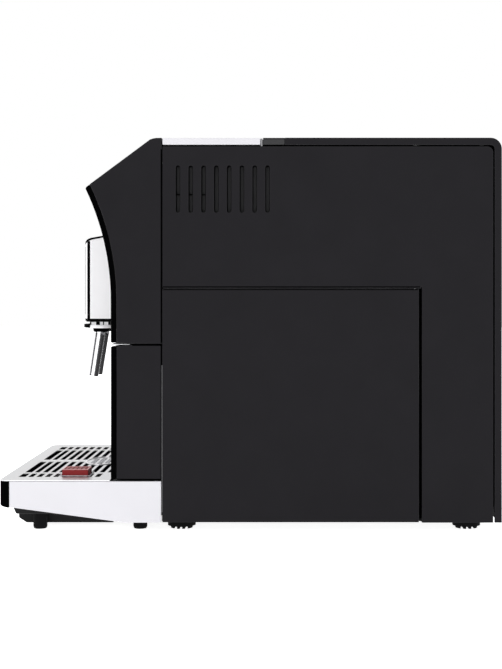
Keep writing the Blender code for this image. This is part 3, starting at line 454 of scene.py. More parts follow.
def rectangle(low, high, inset=0.0):
    left, bottom, right, top = low[0] + inset, low[1] + inset, high[0] - inset, high[1] - inset
    return [(left, bottom), (right, bottom), (right, top), (left, top)]


def ellipse(middle, half, steps=48):
    turns = [math.tau * i / steps for i in range(steps)]
    return [(middle[0] + half[0] * math.cos(t), middle[1] + half[1] * math.sin(t)) for t in turns]


SCREW_RINGS = (
    # reach and height as parts of the radius, and whether the ring has six lobes
    (0.0, 0.25, False),
    (0.45, 0.25, True),
    (0.5, 0.42, True),
    (0.86, 0.36, False),
    (1.0, 0.18, False),
    (1.0, 0.0, False),
)
LOBE_DEPTH = 0.14


def add_screw(shape, at, axis, radius=0.0032):
    """A domed screw head with a six-lobed recess, standing on a surface."""
    place = place_at(at, axis)
    sides = 24
    rings = []
    for reach, height, lobed in SCREW_RINGS:
        ring = []
        for i in range(sides if reach else 1):
            turn = math.tau * i / sides
            far = radius * reach * (1.0 + (LOBE_DEPTH * math.cos(6 * turn) if lobed else 0.0))
            point = Vector((far * math.cos(turn), far * math.sin(turn), radius * height))
            ring.append(shape.verts.new(place @ point))
        rings.append(ring)
    bridge(shape, *rings)
    shape.faces.new(rings[-1])


def screws(name, material, places, axis, radius=0.0032):
    """Screw heads in the housing that all face one way."""
    made_of(name, "housing", material, add_screw, [(at, axis, radius) for at in places])


def add_ring(shape, place, radius, thick, sides=32, around=8):
    """A round-section ring about the local Z axis."""
    loops = []
    for i in range(sides):
        turn = math.tau * i / sides
        loop = []
        for k in range(around):
            bend = math.tau * k / around
            far = radius + thick * math.cos(bend)
            point = Vector((far * math.cos(turn), far * math.sin(turn), thick * math.sin(bend)))
            loop.append(shape.verts.new(place @ point))
        loops.append(loop)
    bridge(shape, *loops, loops[0])


def add_coil(shape, start, radius, wire, height, turns, steps=16):
    """A compression spring standing on start."""
    x, y, z = start
    count = int(turns * steps)
    points = []
    for i in range(count + 1):
        turn = math.tau * i / steps
        points.append((x + radius * math.cos(turn), y + radius * math.sin(turn), z + height * i / count))
    add_tube(shape, points, wire, 8)


def on_side(sign, low, high):
    """X limits on one side, in rising order."""
    return tuple(sorted((sign * low, sign * high)))


# ---------------- CAD nodes that keep their shape
FINISHES = (
    # material, width of the eased edges in mm, nodes
    (CHARCOAL, 0.4, "side_panel_left side_panel_right service_door"),
    (CHARCOAL, 0.7, "rear_shell"),
    (CHARCOAL, 0.6, "head_housing"),
    (CHARCOAL, 0.5, "lower_housing tank_lid"),
    (GLOSS, 0.5, "front_fascia lower_fascia drawer_front"),
    (GLOSS, 0.3, "display_glass"),
    (DULL_BLACK, 0.6, "tray_front_bar"),
    (BLACK, 0.6, "base_pan grind_knob"),
    (BLACK, 0.3, "spout_carriage"),
    (BLACK, 0.8, "tray_pan"),
    (BLACK, 0.6, "tank_shelf"),
    (BLACK, 0.8, "brew_frame"),
    (BLACK, 0.6, "pump"),
    (BLACK, 0.4, "power_inlet"),
    (BLACK, 0.6, "power_switch"),
    (SILVER, 0.5, "top_deck"),
    (SILVER, 0.7, "tray_trim"),
    (SILVER, 0.6, "power_button"),
    (BRIGHTENED_SILVER, 0.6, "spout_cover spout_flange"),
    (STEEL, 0.3, "cup_grid"),
    (STEEL, 1.0, "grinder_motor"),
    (DARK_STEEL, 0.2, "door_hinge_rod"),
    (DARK_STEEL, 0.3, "spout_rail_left spout_rail_right"),
    (DARK_STEEL, 0.4, "brew_screw"),
    (DARK_STEEL, 0.3, "upper_burr lower_burr"),
    (CHROME, 0.4, "nozzle_left nozzle_right"),
    (RED, 1.0, "tray_float"),
    (RUBBER, 0.4, "foot_front_left foot_front_right foot_rear_left foot_rear_right"),
    (RUBBER, 0.4, "tray_foot_front_left tray_foot_front_right tray_foot_rear_left tray_foot_rear_right"),
    (SMOKE, 0.6, "hopper_lid bean_hopper"),
    (SMOKE, 0.8, "water_tank"),
    (GREY, 0.5, "top_crossbar"),
    (GREY, 0.6, "grounds_container"),
    (GREY, 0.4, "inner_frame"),
    (GREY, 1.0, "brew_motor"),
    (GREY, 0.8, "grinder_body"),
    (WHITE, 0.8, "brew_piston brew_chamber"),
    (ALUMINIUM, 1.0, "thermoblock"),
    (BOARD, 0.2, "power_board"),
    (HOSE, 0.0, "suction_hose pressure_hose brew_hose"),
)


def clean_copy(node):
    """A CAD node's mesh with its triangles merged back into whole faces."""
    shape = bmesh.new()
    shape.from_mesh(NODES[node].data)
    bmesh.ops.remove_doubles(shape, verts=shape.verts, dist=MERGE_DISTANCE)
    bmesh.ops.dissolve_limit(
        shape,
        angle_limit=FLAT_ANGLE,
        verts=shape.verts,
        edges=shape.edges,
    )
    mesh = bpy.data.meshes.new(node)
    shape.to_mesh(mesh)
    shape.free()
    return mesh


def shade_side_faces(skin, material):
    """Gives the faces that look sideways a second, matte near-black material: painted shade, which keeps them
    black instead of reflecting the bright surroundings.
    """
    skin.data.materials.append(material)
    for face in skin.data.polygons:
        if abs(face.normal.x) > 0.95:
            face.material_index = 1


def dress_frame():
    """Shows every CAD node with merged faces, eased edges and its real material."""
    for material, width, nodes in FINISHES:
        for node in nodes.split():
            skin = show(f"{node}_skin", clean_copy(node), BODY_OF[node], material, width / 1000)
            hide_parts(node)
            # the fascias' sideways faces get painted shade
            if node in ("front_fascia", "lower_fascia"):
                shade_side_faces(skin, DULL_BLACK)


# ---------------- shell: vents, seams and screws
VENT_YS = [-0.0629 + 0.0115 * i for i in range(8)]
VENT_MIDDLE = 0.3084
VENT_HALF = (0.00188, 0.02123)


def vent_shade_liners():
    """Painted shade in the slots of both side panels: near-black linings with off-centre openings, so the
    dark walls show wider along one side and the top, and near-black ledges for a shadow line in the first
    three slots; a grey baffle stands behind them.
    """
    wide, tall = VENT_HALF
    for side, sign in SIDES:
        low, high = on_side(sign, 0.136, 0.1397)

        # near-black linings of the slots: painted shade on their walls, wider along one side and the top
        # where the opening sits off-centre
        def slot_wall_shade(shape):
            for y in VENT_YS:
                outer = stadium((y, VENT_MIDDLE), VENT_HALF)
                inner = stadium((y + 0.00017, VENT_MIDDLE - 0.0003), (wide - 0.00042, tall - 0.00055))
                add_frame(shape, outer, inner, "X", low, high)

        piece(f"vent_shade_liners_{side}", "housing", DULL_BLACK, slot_wall_shade)
        near, far = on_side(sign, 0.1336, 0.1346)
        spans = [((near, -0.07, 0.282), (far, 0.025, 0.335))]
        blocks(f"vent_baffle_{side}", "housing", GREY, spans, 0.0002)
        # near-black ledges: painted shadow line of an inner edge in the first three slots
        near, far = on_side(sign, 0.1346, 0.1372)
        spans = [((near, y - 0.0013, 0.303), (far, y + 0.0013, 0.304)) for y in VENT_YS[:3]]
        blocks(f"vent_shadow_ledges_{side}", "housing", DULL_BLACK, spans)


def seam_shade_strips():
    """Near-black strips behind the gaps between the panels: painted shade in the seams, which also stops
    light passing.
    """
    for side, sign in SIDES:
        near, far = on_side(sign, 0.134, 0.1366)
        rear_near, rear_far = on_side(sign, 0.1366, 0.1373)
        spans = (
            ((near, -0.0765, 0.3448), (far, 0.0131, 0.348)),
            ((near, 0.0131, 0.3448), (far, 0.215, 0.3478)),
            ((rear_near, 0.219, 0.0226), (rear_far, 0.2214, 0.344)),
            ((near, -0.07752, 0.0096), (far, -0.07688, 0.344)),
        )
        blocks(f"seam_shade_strip_{side}", "housing", DULL_BLACK, spans)

    # near-black strips behind the door's seams: painted shade
    spans = (
        ((0.1345, -0.074, 0.216), (0.137, 0.144, 0.2232)),
        ((0.1278, 0.1542, 0.0232), (0.13, 0.1574, 0.2232)),
    )
    blocks("door_shade_strip", "housing", DULL_BLACK, spans, 0.0003)
    spans = [((0.1372, -0.0762, 0.21905), (0.1398, 0.156, 0.21995))]
    blocks("door_sill", "housing", CHARCOAL, spans, 0.00015)
    # a near-black strip behind the seam between head and column: painted shade
    spans = [((-0.139, -0.1058, 0.16865), (0.139, -0.078, 0.16935))]
    blocks("head_seam_shade_strip", "housing", DULL_BLACK, spans)


def seam_highlights_and_trims():
    """The bright lines: painted highlights in the seam beside the door and in the seam between head and
    column, and a grey lip across the deck's rear edge.
    """
    for side, sign in SIDES:
        near, far = on_side(sign, 0.137, 0.1396)
        # painted highlight: a grey line in the seam beside the door
        blocks(f"seam_highlight_{side}", "housing", TRIM_AND_HIGHLIGHT_GREY, [((near, -0.07735, 0.018), (far, -0.07705, 0.15))])
    blocks("deck_lip", "housing", TRIM_AND_HIGHLIGHT_GREY, [((-0.1398, 0.0114, 0.3469), (0.1398, 0.0131, 0.3538))], 0.0003)
    # painted highlight: a pale wedge in the seam between head and column
    wedge = [(-0.1227, 0.1683), (-0.1062, 0.1686), (-0.1062, 0.169), (-0.1227, 0.1694)]
    made_of("head_seam_highlight", "housing", PALE_HIGHLIGHT, add_prism, [(wedge, "X", -0.1396, 0.1396)], 0.0002)
    spans = [((-0.1398, 0.0136, 0.35335), (0.1398, 0.0336, 0.3544))]
    blocks("crossbar_cover", "housing", CHARCOAL, spans, 0.0003)
    blocks("crossbar_seal", "housing", DULL_BLACK, [((-0.1396, 0.0328, 0.3484), (0.1396, 0.0336, 0.354))])


def edge_shade_lines():
    """Near-black strips along the panels' bevelled edges at the seams: painted shade on the turned edges."""
    for side, sign in SIDES:
        near, far = on_side(sign, 0.1395, HALF + EDGE_HIGH)
        spans = (
            ((near, -0.0784, 0.1702), (far, -0.0776, 0.344)),
            ((near, -0.0784, 0.15), (far, -0.0776, 0.1682)),
            ((near, -0.0784, 0.0482), (far, -0.0779, 0.15)),
            ((near, -0.104, 0.1675), (far, -0.0776, 0.1684)),
            ((near, -0.118, 0.0474), (far, -0.0776, 0.048)),
        )
        blocks(f"head_edge_shade_{side}", "housing", DULL_BLACK, spans)
    # near-black lines along the door's seam: painted shade
    spans = [((0.1395, -0.0762, 0.2199), (HALF + EDGE_HIGH, 0.1545, 0.2209))]
    blocks("door_frame_shade_line", "housing", DULL_BLACK, spans)
    spans = [((0.1395, -0.0764, 0.2176), (HALF + EDGE_HIGH, 0.153, 0.2184))]
    blocks("door_edge_shade_line", "door", DULL_BLACK, spans)


RATING_ROWS = (
    # where the printed bars start and end in each row
    ((0.035, 0.056), (0.059, 0.084)),
    ((0.035, 0.076),),
    ((0.035, 0.048), (0.051, 0.092)),
    ((0.035, 0.066),),
)


def rear_details():
    """Screws, vent baffle, rims, contacts, rating plate and grips on the back."""
    heads = [(x, BACK, z) for x in (-0.127, 0.127) for z in (0.022, 0.12, 0.23, 0.33)]
    screws("rear_screws", DARK_STEEL, heads, (0, 1, 0))
    blocks("rear_baffle", "housing", BLACK, [((0.025, 0.2225, 0.035), (0.109, 0.224, 0.095))], 0.0004)

    rims = [
        (rectangle(low, high), rectangle(low, high, 0.0011), "Y", BACK, BACK + 0.0008)
        for low, high in (((-0.1032, 0.0268), (-0.0468, 0.0632)), ((-0.0372, 0.0318), (-0.0128, 0.0582)))
    ]
    made_of("inlet_rims", "housing", BLACK, add_frame, rims, 0.0002)

    def bezel(shape):
        outer = rectangle((-0.0358, 0.0332), (-0.0142, 0.0568))
        inner = rectangle((-0.0344, 0.035), (-0.0156, 0.055))
        add_frame(shape, outer, inner, "Y", 0.223, 0.2276)

    piece("rocker_bezel", "housing", BLACK, bezel, 0.0003)
    spans = [
        ((x - 0.00125, 0.2112, z - 0.00225), (x + 0.00125, 0.2256, z + 0.00225))
        for x, z in ((-0.082, 0.043), (-0.075, 0.048), (-0.068, 0.043))
    ]
    blocks("inlet_contacts", "housing", BRASS, spans, 0.0003)
    blocks("rating_plate", "housing", SILVER, [((0.031, BACK, 0.106), (0.103, BACK + 0.0003, 0.136))], 0.0001)
    spans = []
    for row, bars in enumerate(RATING_ROWS):
        z = 0.13 - 0.0058 * row
        for start, end in bars:
            spans.append(((start, BACK + 0.00031, z - 0.0009), (end, BACK + 0.00036, z + 0.0009)))
    blocks("rating_bars", "housing", BLACK, spans)

    def grips(shape):
        for x in (-0.112, 0.112):
            outer = stadium((x, 0.29), (0.01, 0.024))
            inner = stadium((x, 0.29), (0.0086, 0.0226))
            add_frame(shape, outer, inner, "Y", BACK, BACK + 0.001)

    piece("grip_rims", "housing", CHARCOAL, grips, 0.0003)


def underside():
    low = 0.00855
    heads = [(x, y, low) for x in (-0.095, 0.0, 0.095) for y in (-0.06, 0.11, 0.205)]
    screws("base_screws", DARK_STEEL, heads, (0, 0, -1), 0.003)
    xs = [-0.08 + 0.02 * i for i in range(9)]
    spans = [((x - 0.0012, -0.03, 0.0068), (x + 0.0012, 0.08, low)) for x in xs]
    blocks("base_ribs", "housing", BLACK, spans, 0.0003)


# ---------------- top: hopper, grind ring, tank lid
KNOB_AT = (0.11, -0.032)
MOTOR_AT = (-0.03, -0.032)


def top_details():
    """Grind scale and pointer, hopper guard and gasket, and the lids' grips."""
    x, y = KNOB_AT

    def ticks(shape):
        for i in range(13):
            place = Matrix.Translation((x, y, DECK_TOP + 0.00002)) @ turned_by(-30 + 20 * i)
            long = 0.0016 if i % 3 else 0.0026
            add_block_at(shape, place, (0.0192, -0.0003, 0.0), (0.0192 + long, 0.0003, 0.00016))

    piece("grind_scale", "housing", BLACK, ticks)
    spans = [((x - 0.0007, y + 0.004, 0.35362), (x + 0.0007, y + 0.0148, 0.3538))]
    blocks("grind_pointer", "knob", PRINT, spans)
    dome = ((0.0, 0.35395), (0.0012, 0.35392), (0.0018, 0.35375), (0.0018, 0.35362), (0.0, 0.35362))
    piece("grind_cap", "knob", CHROME, lambda shape: add_turned(shape, dome, upright(x, y), 20))

    def guard(shape):
        place = Matrix.Translation((*MOTOR_AT, 0.3185))
        for turn in (0, 60, 120):
            spoke = place @ turned_by(turn)
            add_block_at(shape, spoke, (-0.0208, -0.0008, -0.0012), (0.0208, 0.0008, 0.0012))
        add_ring(shape, place, 0.01, 0.0009)

    piece("burr_guard", "housing", BLACK, guard)

    def gasket(shape):
        outer = rectangle((-0.1182, -0.0692), (0.0782, 0.002))
        inner = rectangle((-0.116, -0.067), (0.076, 0.0004))
        add_frame(shape, outer, inner, "Z", 0.34985, 0.35055)

    piece("hopper_gasket", "housing", RUBBER, gasket)
    spans = [((-0.036, -0.07, 0.3521), (-0.004, -0.069, 0.3537))]
    blocks("hopper_lid_lip", "hopper_lid", SMOKE, spans, 0.0002)
    ys = [0.164 + 0.0022 * i for i in range(5)]
    spans = [((-0.025, at - 0.0004, 0.35382), (0.025, at + 0.0004, 0.35412)) for at in ys]
    blocks("tank_lid_grips", "tank_lid", CHARCOAL, spans)


# ---------------- control panel
PANEL_FOOT = Vector((0.0, -0.1422, 0.3127))
PANEL_HEAD = Vector((0.0, -0.0879, 0.353))
BUTTON_X = 0.119
SIGN_LIFT = -0.00009  # the signs start just under the glass
SIGN_HIGH = 0.00012
SIGN_LINE = 0.0007
FINE_LINE = 0.0004
BOLD_LINE = 0.0008


def panel_place(x=0.0, up=0.0, height=SIGN_LIFT):
    """A frame on the control panel: X across, Y up the slope, Z out of the glass."""
    lean = (PANEL_HEAD - PANEL_FOOT).normalized()
    out = Vector((0.0, -lean.z, lean.y))
    at = (PANEL_FOOT + PANEL_HEAD) / 2 + Vector((x, 0, 0)) + lean * up + out * height
    return Matrix.Translation(at) @ Matrix.Rotation(math.atan2(lean.z, lean.y), 4, "X")


def add_arc(shape, place, radius, thick, start, end, steps=14):
    """A flat arc band in a local frame."""
    turns = [math.radians(start + (end - start) * i / steps) for i in range(steps + 1)]
    outer, inner = radius + thick / 2, radius - thick / 2
    outline = [(outer * math.cos(t), outer * math.sin(t)) for t in turns]
    outline += [(inner * math.cos(t), inner * math.sin(t)) for t in reversed(turns)]
    lower, upper = [[shape.verts.new(place @ Vector((*p, z))) for p in outline] for z in (0.0, SIGN_HIGH)]
    for i in range(steps):
        m = len(outline) - 1 - i
        for ring in (upper, lower):
            shape.faces.new((ring[i], ring[i + 1], ring[m - 1], ring[m]))
    bridge(shape, lower, upper)


def add_line(shape, place, start, end, thick=SIGN_LINE):
    start, end = Vector((*start, 0.0)), Vector((*end, 0.0))
    run = end - start
    turn = Matrix.Rotation(math.atan2(run.y, run.x), 4, "Z")
    local = place @ Matrix.Translation(start) @ turn
    add_block_at(shape, local, (0.0, -thick / 2, 0.0), (run.length, thick / 2, SIGN_HIGH))


def add_cup(shape, place, size, steam):
    """A line drawing of a cup on a saucer."""
    rim, foot = 0.5 * size, 0.32 * size
    top, bottom = 0.35 * size, -0.25 * size
    corners = [(-rim, top), (-foot, bottom), (foot, bottom), (rim, top), (-rim, top)]
    for a, b in zip(corners, corners[1:]):
        add_line(shape, place, a, b)
    add_line(shape, place, (-0.6 * size, -0.45 * size), (0.6 * size, -0.45 * size))
    handle = place @ Matrix.Translation((rim * 0.92, 0.1 * size, 0.0))
    add_arc(shape, handle, 0.2 * size, SIGN_LINE, -80, 80)
    for i in range(steam):
        x = (i - (steam - 1) / 2) * 0.32 * size
        add_line(shape, place, (x, 0.5 * size), (x + 0.06 * size, 0.85 * size))


def panel_signs():
    """Generic line drawings that light up behind the glass, and the button's sign."""

    def cups(shape):
        for i, (size, steam) in enumerate(((0.0075, 1), (0.009, 2), (0.0105, 3))):
            add_cup(shape, panel_place(-0.082 + 0.02 * i, -0.014), size, steam)
        for i, (size, steam) in enumerate(((0.0105, 2), (0.012, 3))):
            add_cup(shape, panel_place(0.048 + 0.022 * i, -0.014), size, steam)

    piece("panel_cups", "housing", LIT_WHITE, cups)

    def screen(shape):
        place = panel_place(0.0, 0.003)
        wide, tall = 0.026, 0.013
        corners = rectangle((-wide, -tall), (wide, tall))
        for a, b in zip(corners, [*corners[1:], corners[0]]):
            add_line(shape, place, a, b, FINE_LINE)
        for i in range(5):
            x, foot = -0.02 + 0.0088 * i, -0.009
            add_line(shape, place, (x, foot), (x, foot + 0.0035 + 0.0022 * (i % 3)), 0.004)
        add_arc(shape, place @ Matrix.Translation((0.017, 0.0055, 0.0)), 0.0036, BOLD_LINE, 0, 300)
        add_line(shape, place, (-0.02, 0.0075), (0.006, 0.0075), 0.001)
        add_line(shape, place, (-0.02, 0.0045), (0.0, 0.0045), 0.001)

    piece("panel_screen", "housing", LIT_WHITE, screen)

    def drops(shape):
        for x in (-0.082, 0.084):
            place = panel_place(x, 0.012)
            add_arc(shape, place, 0.0026, SIGN_LINE, -215, 35)
            add_line(shape, place, (-0.0021, 0.0015), (0.0, 0.005))
            add_line(shape, place, (0.0021, 0.0015), (0.0, 0.005))

    piece("panel_alerts", "housing", LIT_AMBER, drops)

    def power(shape):
        place = panel_place(BUTTON_X, 0.0, -0.00008)
        add_arc(shape, place, 0.003, BOLD_LINE, 120, 420, 20)
        add_line(shape, place, (0.0, 0.0008), (0.0, 0.0042), BOLD_LINE)

    piece("button_sign", "button", BLACK, power)
    around = band(0.0077, 0.00795, 0.0, 0.0019)
    seat = panel_place(BUTTON_X, 0.0, -0.002)
    piece("button_ring", "housing", BLACK, lambda shape: add_turned(shape, around, seat, 40))

    def strip(shape):
        place = panel_place(0.0, -0.0275, 0.00002)
        add_block_at(shape, place, (-0.139, -0.0003, 0.0), (0.139, 0.0003, 0.0002))

    piece("panel_line", "housing", SILVER, strip)


# ---------------- spout
SPOUT_BOW = (
    # the right half of the cover's front, seen from above
    (0.0, -0.166),
    (0.011, -0.1654),
    (0.02, -0.1641),
    (0.028, -0.162),
    (0.032, -0.1605),
    (0.0343, -0.1588),
    (0.035, -0.1565),
)
CROWN = ((-0.1665, 0.2612), (-0.16, 0.265), (-0.148, 0.2693), (-0.115, 0.2718))
NECK_SPANS = ((-0.158, -0.1568), (-0.152, -0.1484), (-0.1454, -0.1444), (-0.1402, -0.1384))


def crown_height(y):
    for (near, low), (far, high) in zip(CROWN, CROWN[1:]):
        if near <= y <= far:
            return low + (high - low) * (y - near) / (far - near)
    return CROWN[0][1] if y < CROWN[0][0] else CROWN[-1][1]


def bow(grow, rear):
    """The cover's outline seen from above, grown outwards and cut straight at the rear."""
    half = [(x + (grow if x > 0.03 else 0.0), y - grow) for x, y in SPOUT_BOW]
    half.append((half[-1][0], rear))
    return [*half, *[(-x, y) for x, y in reversed(half[1:])]]


def spout_details():
    """Cap, corner lines of painted shade, sill, neck, collars, nose, grooves and sign of the spout."""

    def cap(shape):
        outline = bow(0.0002, -0.133)
        lower = [shape.verts.new((x, y, crown_height(y) + 0.0001)) for x, y in outline]
        upper = [shape.verts.new((x, y, crown_height(y) + 0.002)) for x, y in outline]
        close_off(shape, lower, upper)

    piece("spout_cap", "spout", DULL_BLACK, cap)

    # near-black lines on the cover's front corners: painted shade of the gap between the bowed front and the
    # sides
    def corner_shade_lines(shape):
        for sign in (-1, 1):
            curve = [(0.0318, -0.16075), (0.0331, -0.1599), (0.03455, -0.1588), (0.035, -0.1577)]
            rear = [(x - 0.0003, y + 0.0003) for x, y in curve]
            outline = [(sign * x, y) for x, y in [*curve, *reversed(rear)]]
            add_prism(shape, outline, "Z", 0.189, 0.265)

    piece("spout_corner_shade_lines", "spout", DULL_BLACK, corner_shade_lines)

    sill = [(bow(0.00018, -0.131), bow(0.00003, -0.1309), "Z", 0.1872, 0.1894)]
    made_of("spout_sill", "spout", DULL_BLACK, add_frame, sill)
    spans = [((-0.0323, low, 0.1834), (0.0323, high, 0.18635)) for low, high in NECK_SPANS]
    blocks("spout_neck_blocks", "spout", DULL_BLACK, spans)
    blocks("spout_neck_core", "spout", BRIGHTENED_SILVER, [((-0.0318, -0.1568, 0.18345), (0.0318, -0.1384, 0.1863))])

    def collars(shape):
        inner = 0.00665
        profile = ((inner, 0.1762), (0.0071, 0.1762), (0.0075, 0.179), (0.0075, 0.1798), (inner, 0.1798))
        for x in (-0.015, 0.015):
            add_turned(shape, (*profile, profile[0]), upright(x, -0.15), 24)

    piece("spout_collars", "spout", DULL_BLACK, collars, 0.0002)

    def nose(shape):
        turns = [math.radians(216 + 6 * i) for i in range(19)]
        outer = [(0.0334 * math.cos(t), -0.146 + 0.0219 * math.sin(t)) for t in turns]
        inner = [(0.03302 * math.cos(t), -0.146 + 0.02152 * math.sin(t)) for t in turns]
        add_prism(shape, [*outer, *reversed(inner)], "Z", 0.1803, 0.1833)
        add_prism(shape, [*outer, *[(x, -0.16) for x, _ in reversed(outer)]], "Z", 0.18332, 0.18345)

    piece("spout_nose", "spout", DULL_BLACK, nose)
    spans = [((x - 0.0004, -0.16565, 0.193), (x + 0.0004, -0.1652, 0.26)) for x in (-0.012, 0.012)]
    blocks("spout_grooves", "spout", GREY, spans)
    front = Matrix.Translation((0.0, -0.1661, 0.23)) @ turned_by(90, "X")
    piece("spout_sign", "spout", GREY, lambda shape: add_cup(shape, front, 0.01, 2))


# ---------------- drip drawer
FLOAT_AT = (0.0987, -0.16)
FLOAT_HALF = (0.0116, 0.0121)
PLATE_AT = (0.003, -0.15)


def tray_details():
    """Float, cup grid and drawer: lips, rims, ribs and the grip."""
    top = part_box("tray_float")[1].z
    low = (FLOAT_AT[0] - FLOAT_HALF[0], FLOAT_AT[1] - FLOAT_HALF[1])
    high = (FLOAT_AT[0] + FLOAT_HALF[0], FLOAT_AT[1] + FLOAT_HALF[1])
    # a pale red rim around the float's top: painted highlight along its top edge
    outer, inner = rectangle(low, high, 0.0002), rectangle(low, high, 0.0014)
    ring = [(outer, inner, "Z", top + 0.00005, top + 0.0006)]
    made_of("float_highlight_lip", "float", PALE_RED, add_frame, ring, 0.00015)
    ys = [low[1] + 0.0041 + 0.004 * i for i in range(5)]
    left, right = low[0] + 0.0025, high[0] - 0.0025
    spans = [((left, y - 0.0005, top + 0.00005), (right, y + 0.0005, top + 0.0005)) for y in ys]
    blocks("float_ribs", "float", RED, spans, 0.0001)
    base = GRID_TOP + 0.00003
    outer, inner = rectangle(low, high, -0.0021), rectangle(low, high, -0.0012)
    ring = [(outer, inner, "Z", base, GRID_TOP + 0.0005)]
    made_of("float_collar_rim", "grid", SILVER, add_frame, ring, 0.0002)
    outer, inner = ellipse(PLATE_AT, (0.0312, 0.0162)), ellipse(PLATE_AT, (0.0298, 0.0148))
    made_of("plate_rim", "grid", CHROME, add_frame, [(outer, inner, "Z", base, GRID_TOP + 0.0006)], 0.0002)

    def hole_rims(shape):
        for row, count in ((-0.007, 4), (0.0, 5), (0.007, 4)):
            for i in range(count):
                x = PLATE_AT[0] + (i - (count - 1) / 2) * 0.0095
                place = Matrix.Translation((x, PLATE_AT[1] + row, GRID_TOP + 0.0002))
                add_ring(shape, place, 0.0023, 0.0002, 16, 6)

    piece("plate_hole_rims", "grid", DARK_STEEL, hole_rims)
    spans = [((x - 0.001, -0.209, 0.0442), (x + 0.001, -0.131, 0.0459)) for x in (-0.091, 0.0, 0.091)]
    blocks("grid_bars", "grid", DARK_STEEL, spans)
    xs = (-0.07, -0.035, 0.0, 0.035)
    spans = [((x - 0.0008, -0.205, 0.00755), (x + 0.0008, -0.132, 0.013)) for x in xs]
    blocks("pan_ribs", "drawer", BLACK, spans, 0.0003)
    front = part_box("tray_front_bar")[0].y
    spans = [((-0.125, front - 0.0002, 0.04), (0.125, front + 0.0002, 0.0404))]
    blocks("tray_bar_line", "drawer", SILVER, spans)
    blocks("drawer_grip_face", "drawer", BLACK, [((-0.0345, -0.12085, 0.0925), (0.0345, -0.12075, 0.1018))])


# ---------------- inside: door, brew unit and its drive
CHAMBER_AT = (0.08, 0.053)
SCREW_AT = (0.08, 0.098)
ROD_REACH = 0.0335  # from the chamber's axis to each guide rod
SCREW_LEAD = 0.01
THREAD_SECTION = ((0.00385, -0.0011), (0.00445, -0.0004), (0.00445, 0.0004), (0.00385, 0.0011))


def door_details():
    """Ribs, latch catch and hinge straps on the inside of the service door."""
    level = [((0.1322, -0.07, z - 0.0008), (0.1374, 0.1402, z + 0.0008)) for z in (0.07, 0.115, 0.16)]
    plumb = [((0.1322, y - 0.0008, 0.0275), (0.1374, y + 0.0008, 0.209)) for y in (-0.018, 0.035, 0.088)]
    blocks("door_ribs", "door", BLACK, level + plumb, 0.0003)
    nose = [(0.1262, -0.0738), (0.1262, -0.069), (0.1245, -0.07), (0.124, -0.0738)]
    piece("door_hook_nose", "door", BLACK, lambda shape: add_prism(shape, nose, "Z", 0.116, 0.13), 0.0003)
    spans = (
        ((0.115, -0.0752, 0.112), (0.1168, -0.0685, 0.134)),
        ((0.1168, -0.0752, 0.112), (0.1235, -0.074, 0.134)),
    )
    blocks("door_catch", "housing", DARK_STEEL, spans, 0.0003)
    blocks("door_switch", "housing", BLACK, [((0.106, -0.0745, 0.136), (0.122, -0.0685, 0.146))], 0.0004)
    blocks("door_switch_lever", "housing", CHROME, [((0.107, -0.0684, 0.138), (0.124, -0.068, 0.144))])
    spans = [((0.1305, 0.1362, z), (0.133, 0.144, z + 0.013)) for z in (0.0325, 0.1875)]
    blocks("door_hinge_straps", "door", DARK_STEEL, spans, 0.0004)


def chamber_details():
    """Guide rods, and the chamber's lugs, bands and sieve."""
    x, y = CHAMBER_AT

    def rods(shape):
        for sign in (-1, 1):
            add_bar(shape, (x + sign * ROD_REACH, y, 0.1165), 0.0022, 0.158, sides=20)

    piece("brew_guide_rods", "housing", CHROME, rods, 0.0002)

    def lugs(shape):
        for sign in (-1, 1):
            far = x + sign * ROD_REACH
            near_x, far_x = sorted((x + sign * 0.0232, far - sign * 0.0024))
            add_block(shape, (near_x, y - 0.0024, 0.08), (far_x, y + 0.0024, 0.09))
            add_turned(shape, band(0.0024, 0.0046, 0.079, 0.091), upright(far, y), 24)

    piece("chamber_lugs", "chamber", WHITE, lugs, 0.0003)

    bands = [
        (band(0.0238, 0.0248, low, low + 0.0022), upright(x, y), 40)
        for low in (0.065, 0.076, 0.096, 0.107)
    ]
    made_of("chamber_bands", "chamber", WHITE, add_turned, bands, 0.0003)
    sieve = lambda shape: add_bar(shape, (x, y, 0.0655), 0.0208, 0.0009, sides=40)
    piece("chamber_sieve", "chamber", STEEL, sieve, 0.0002)


def drive_details():
    """The screw's two-start thread and its bearings."""

    def thread(shape):
        turns, steps, start = 16, 20, 0.031
        centre = Vector((*SCREW_AT, 0.0))
        for first in (0.0, math.pi):
            rows = []
            for i in range(turns * steps + 1):
                turn = math.tau * i / steps + first
                z = start + SCREW_LEAD * i / steps
                out = Vector((math.cos(turn), math.sin(turn), 0.0))
                row = [centre + out * r + Vector((0, 0, z + h)) for r, h in THREAD_SECTION]
                rows.append([shape.verts.new(p) for p in row])
            close_off(shape, *rows)

    piece("screw_thread", "screw", DARK_STEEL, thread)

    def bearings(shape):
        add_turned(shape, band(0.0046, 0.0085, 0.1905, 0.195), upright(*SCREW_AT))
        add_turned(shape, band(0.0052, 0.008, 0.0381, 0.041), upright(*SCREW_AT))

    piece("screw_bearings", "housing", BRASS, bearings, 0.0003)


def piston_details():
    """Seals, filter and spring of the fixed piston."""
    x, y = CHAMBER_AT

    seals = [(Matrix.Translation((x, y, z)), 0.02, 0.0009, 48) for z in (0.14, 0.1445)]
    made_of("piston_seals", "housing", RUBBER, add_ring, seals)
    disc = lambda shape: add_bar(shape, (x, y, 0.1345), 0.0185, 0.001, sides=48)
    piece("piston_filter", "housing", STEEL, disc, 0.0002)
    spring = lambda shape: add_coil(shape, (x, y, 0.152), 0.0092, 0.001, 0.0415, 7.0)
    piece("piston_spring", "housing", CHROME, spring)


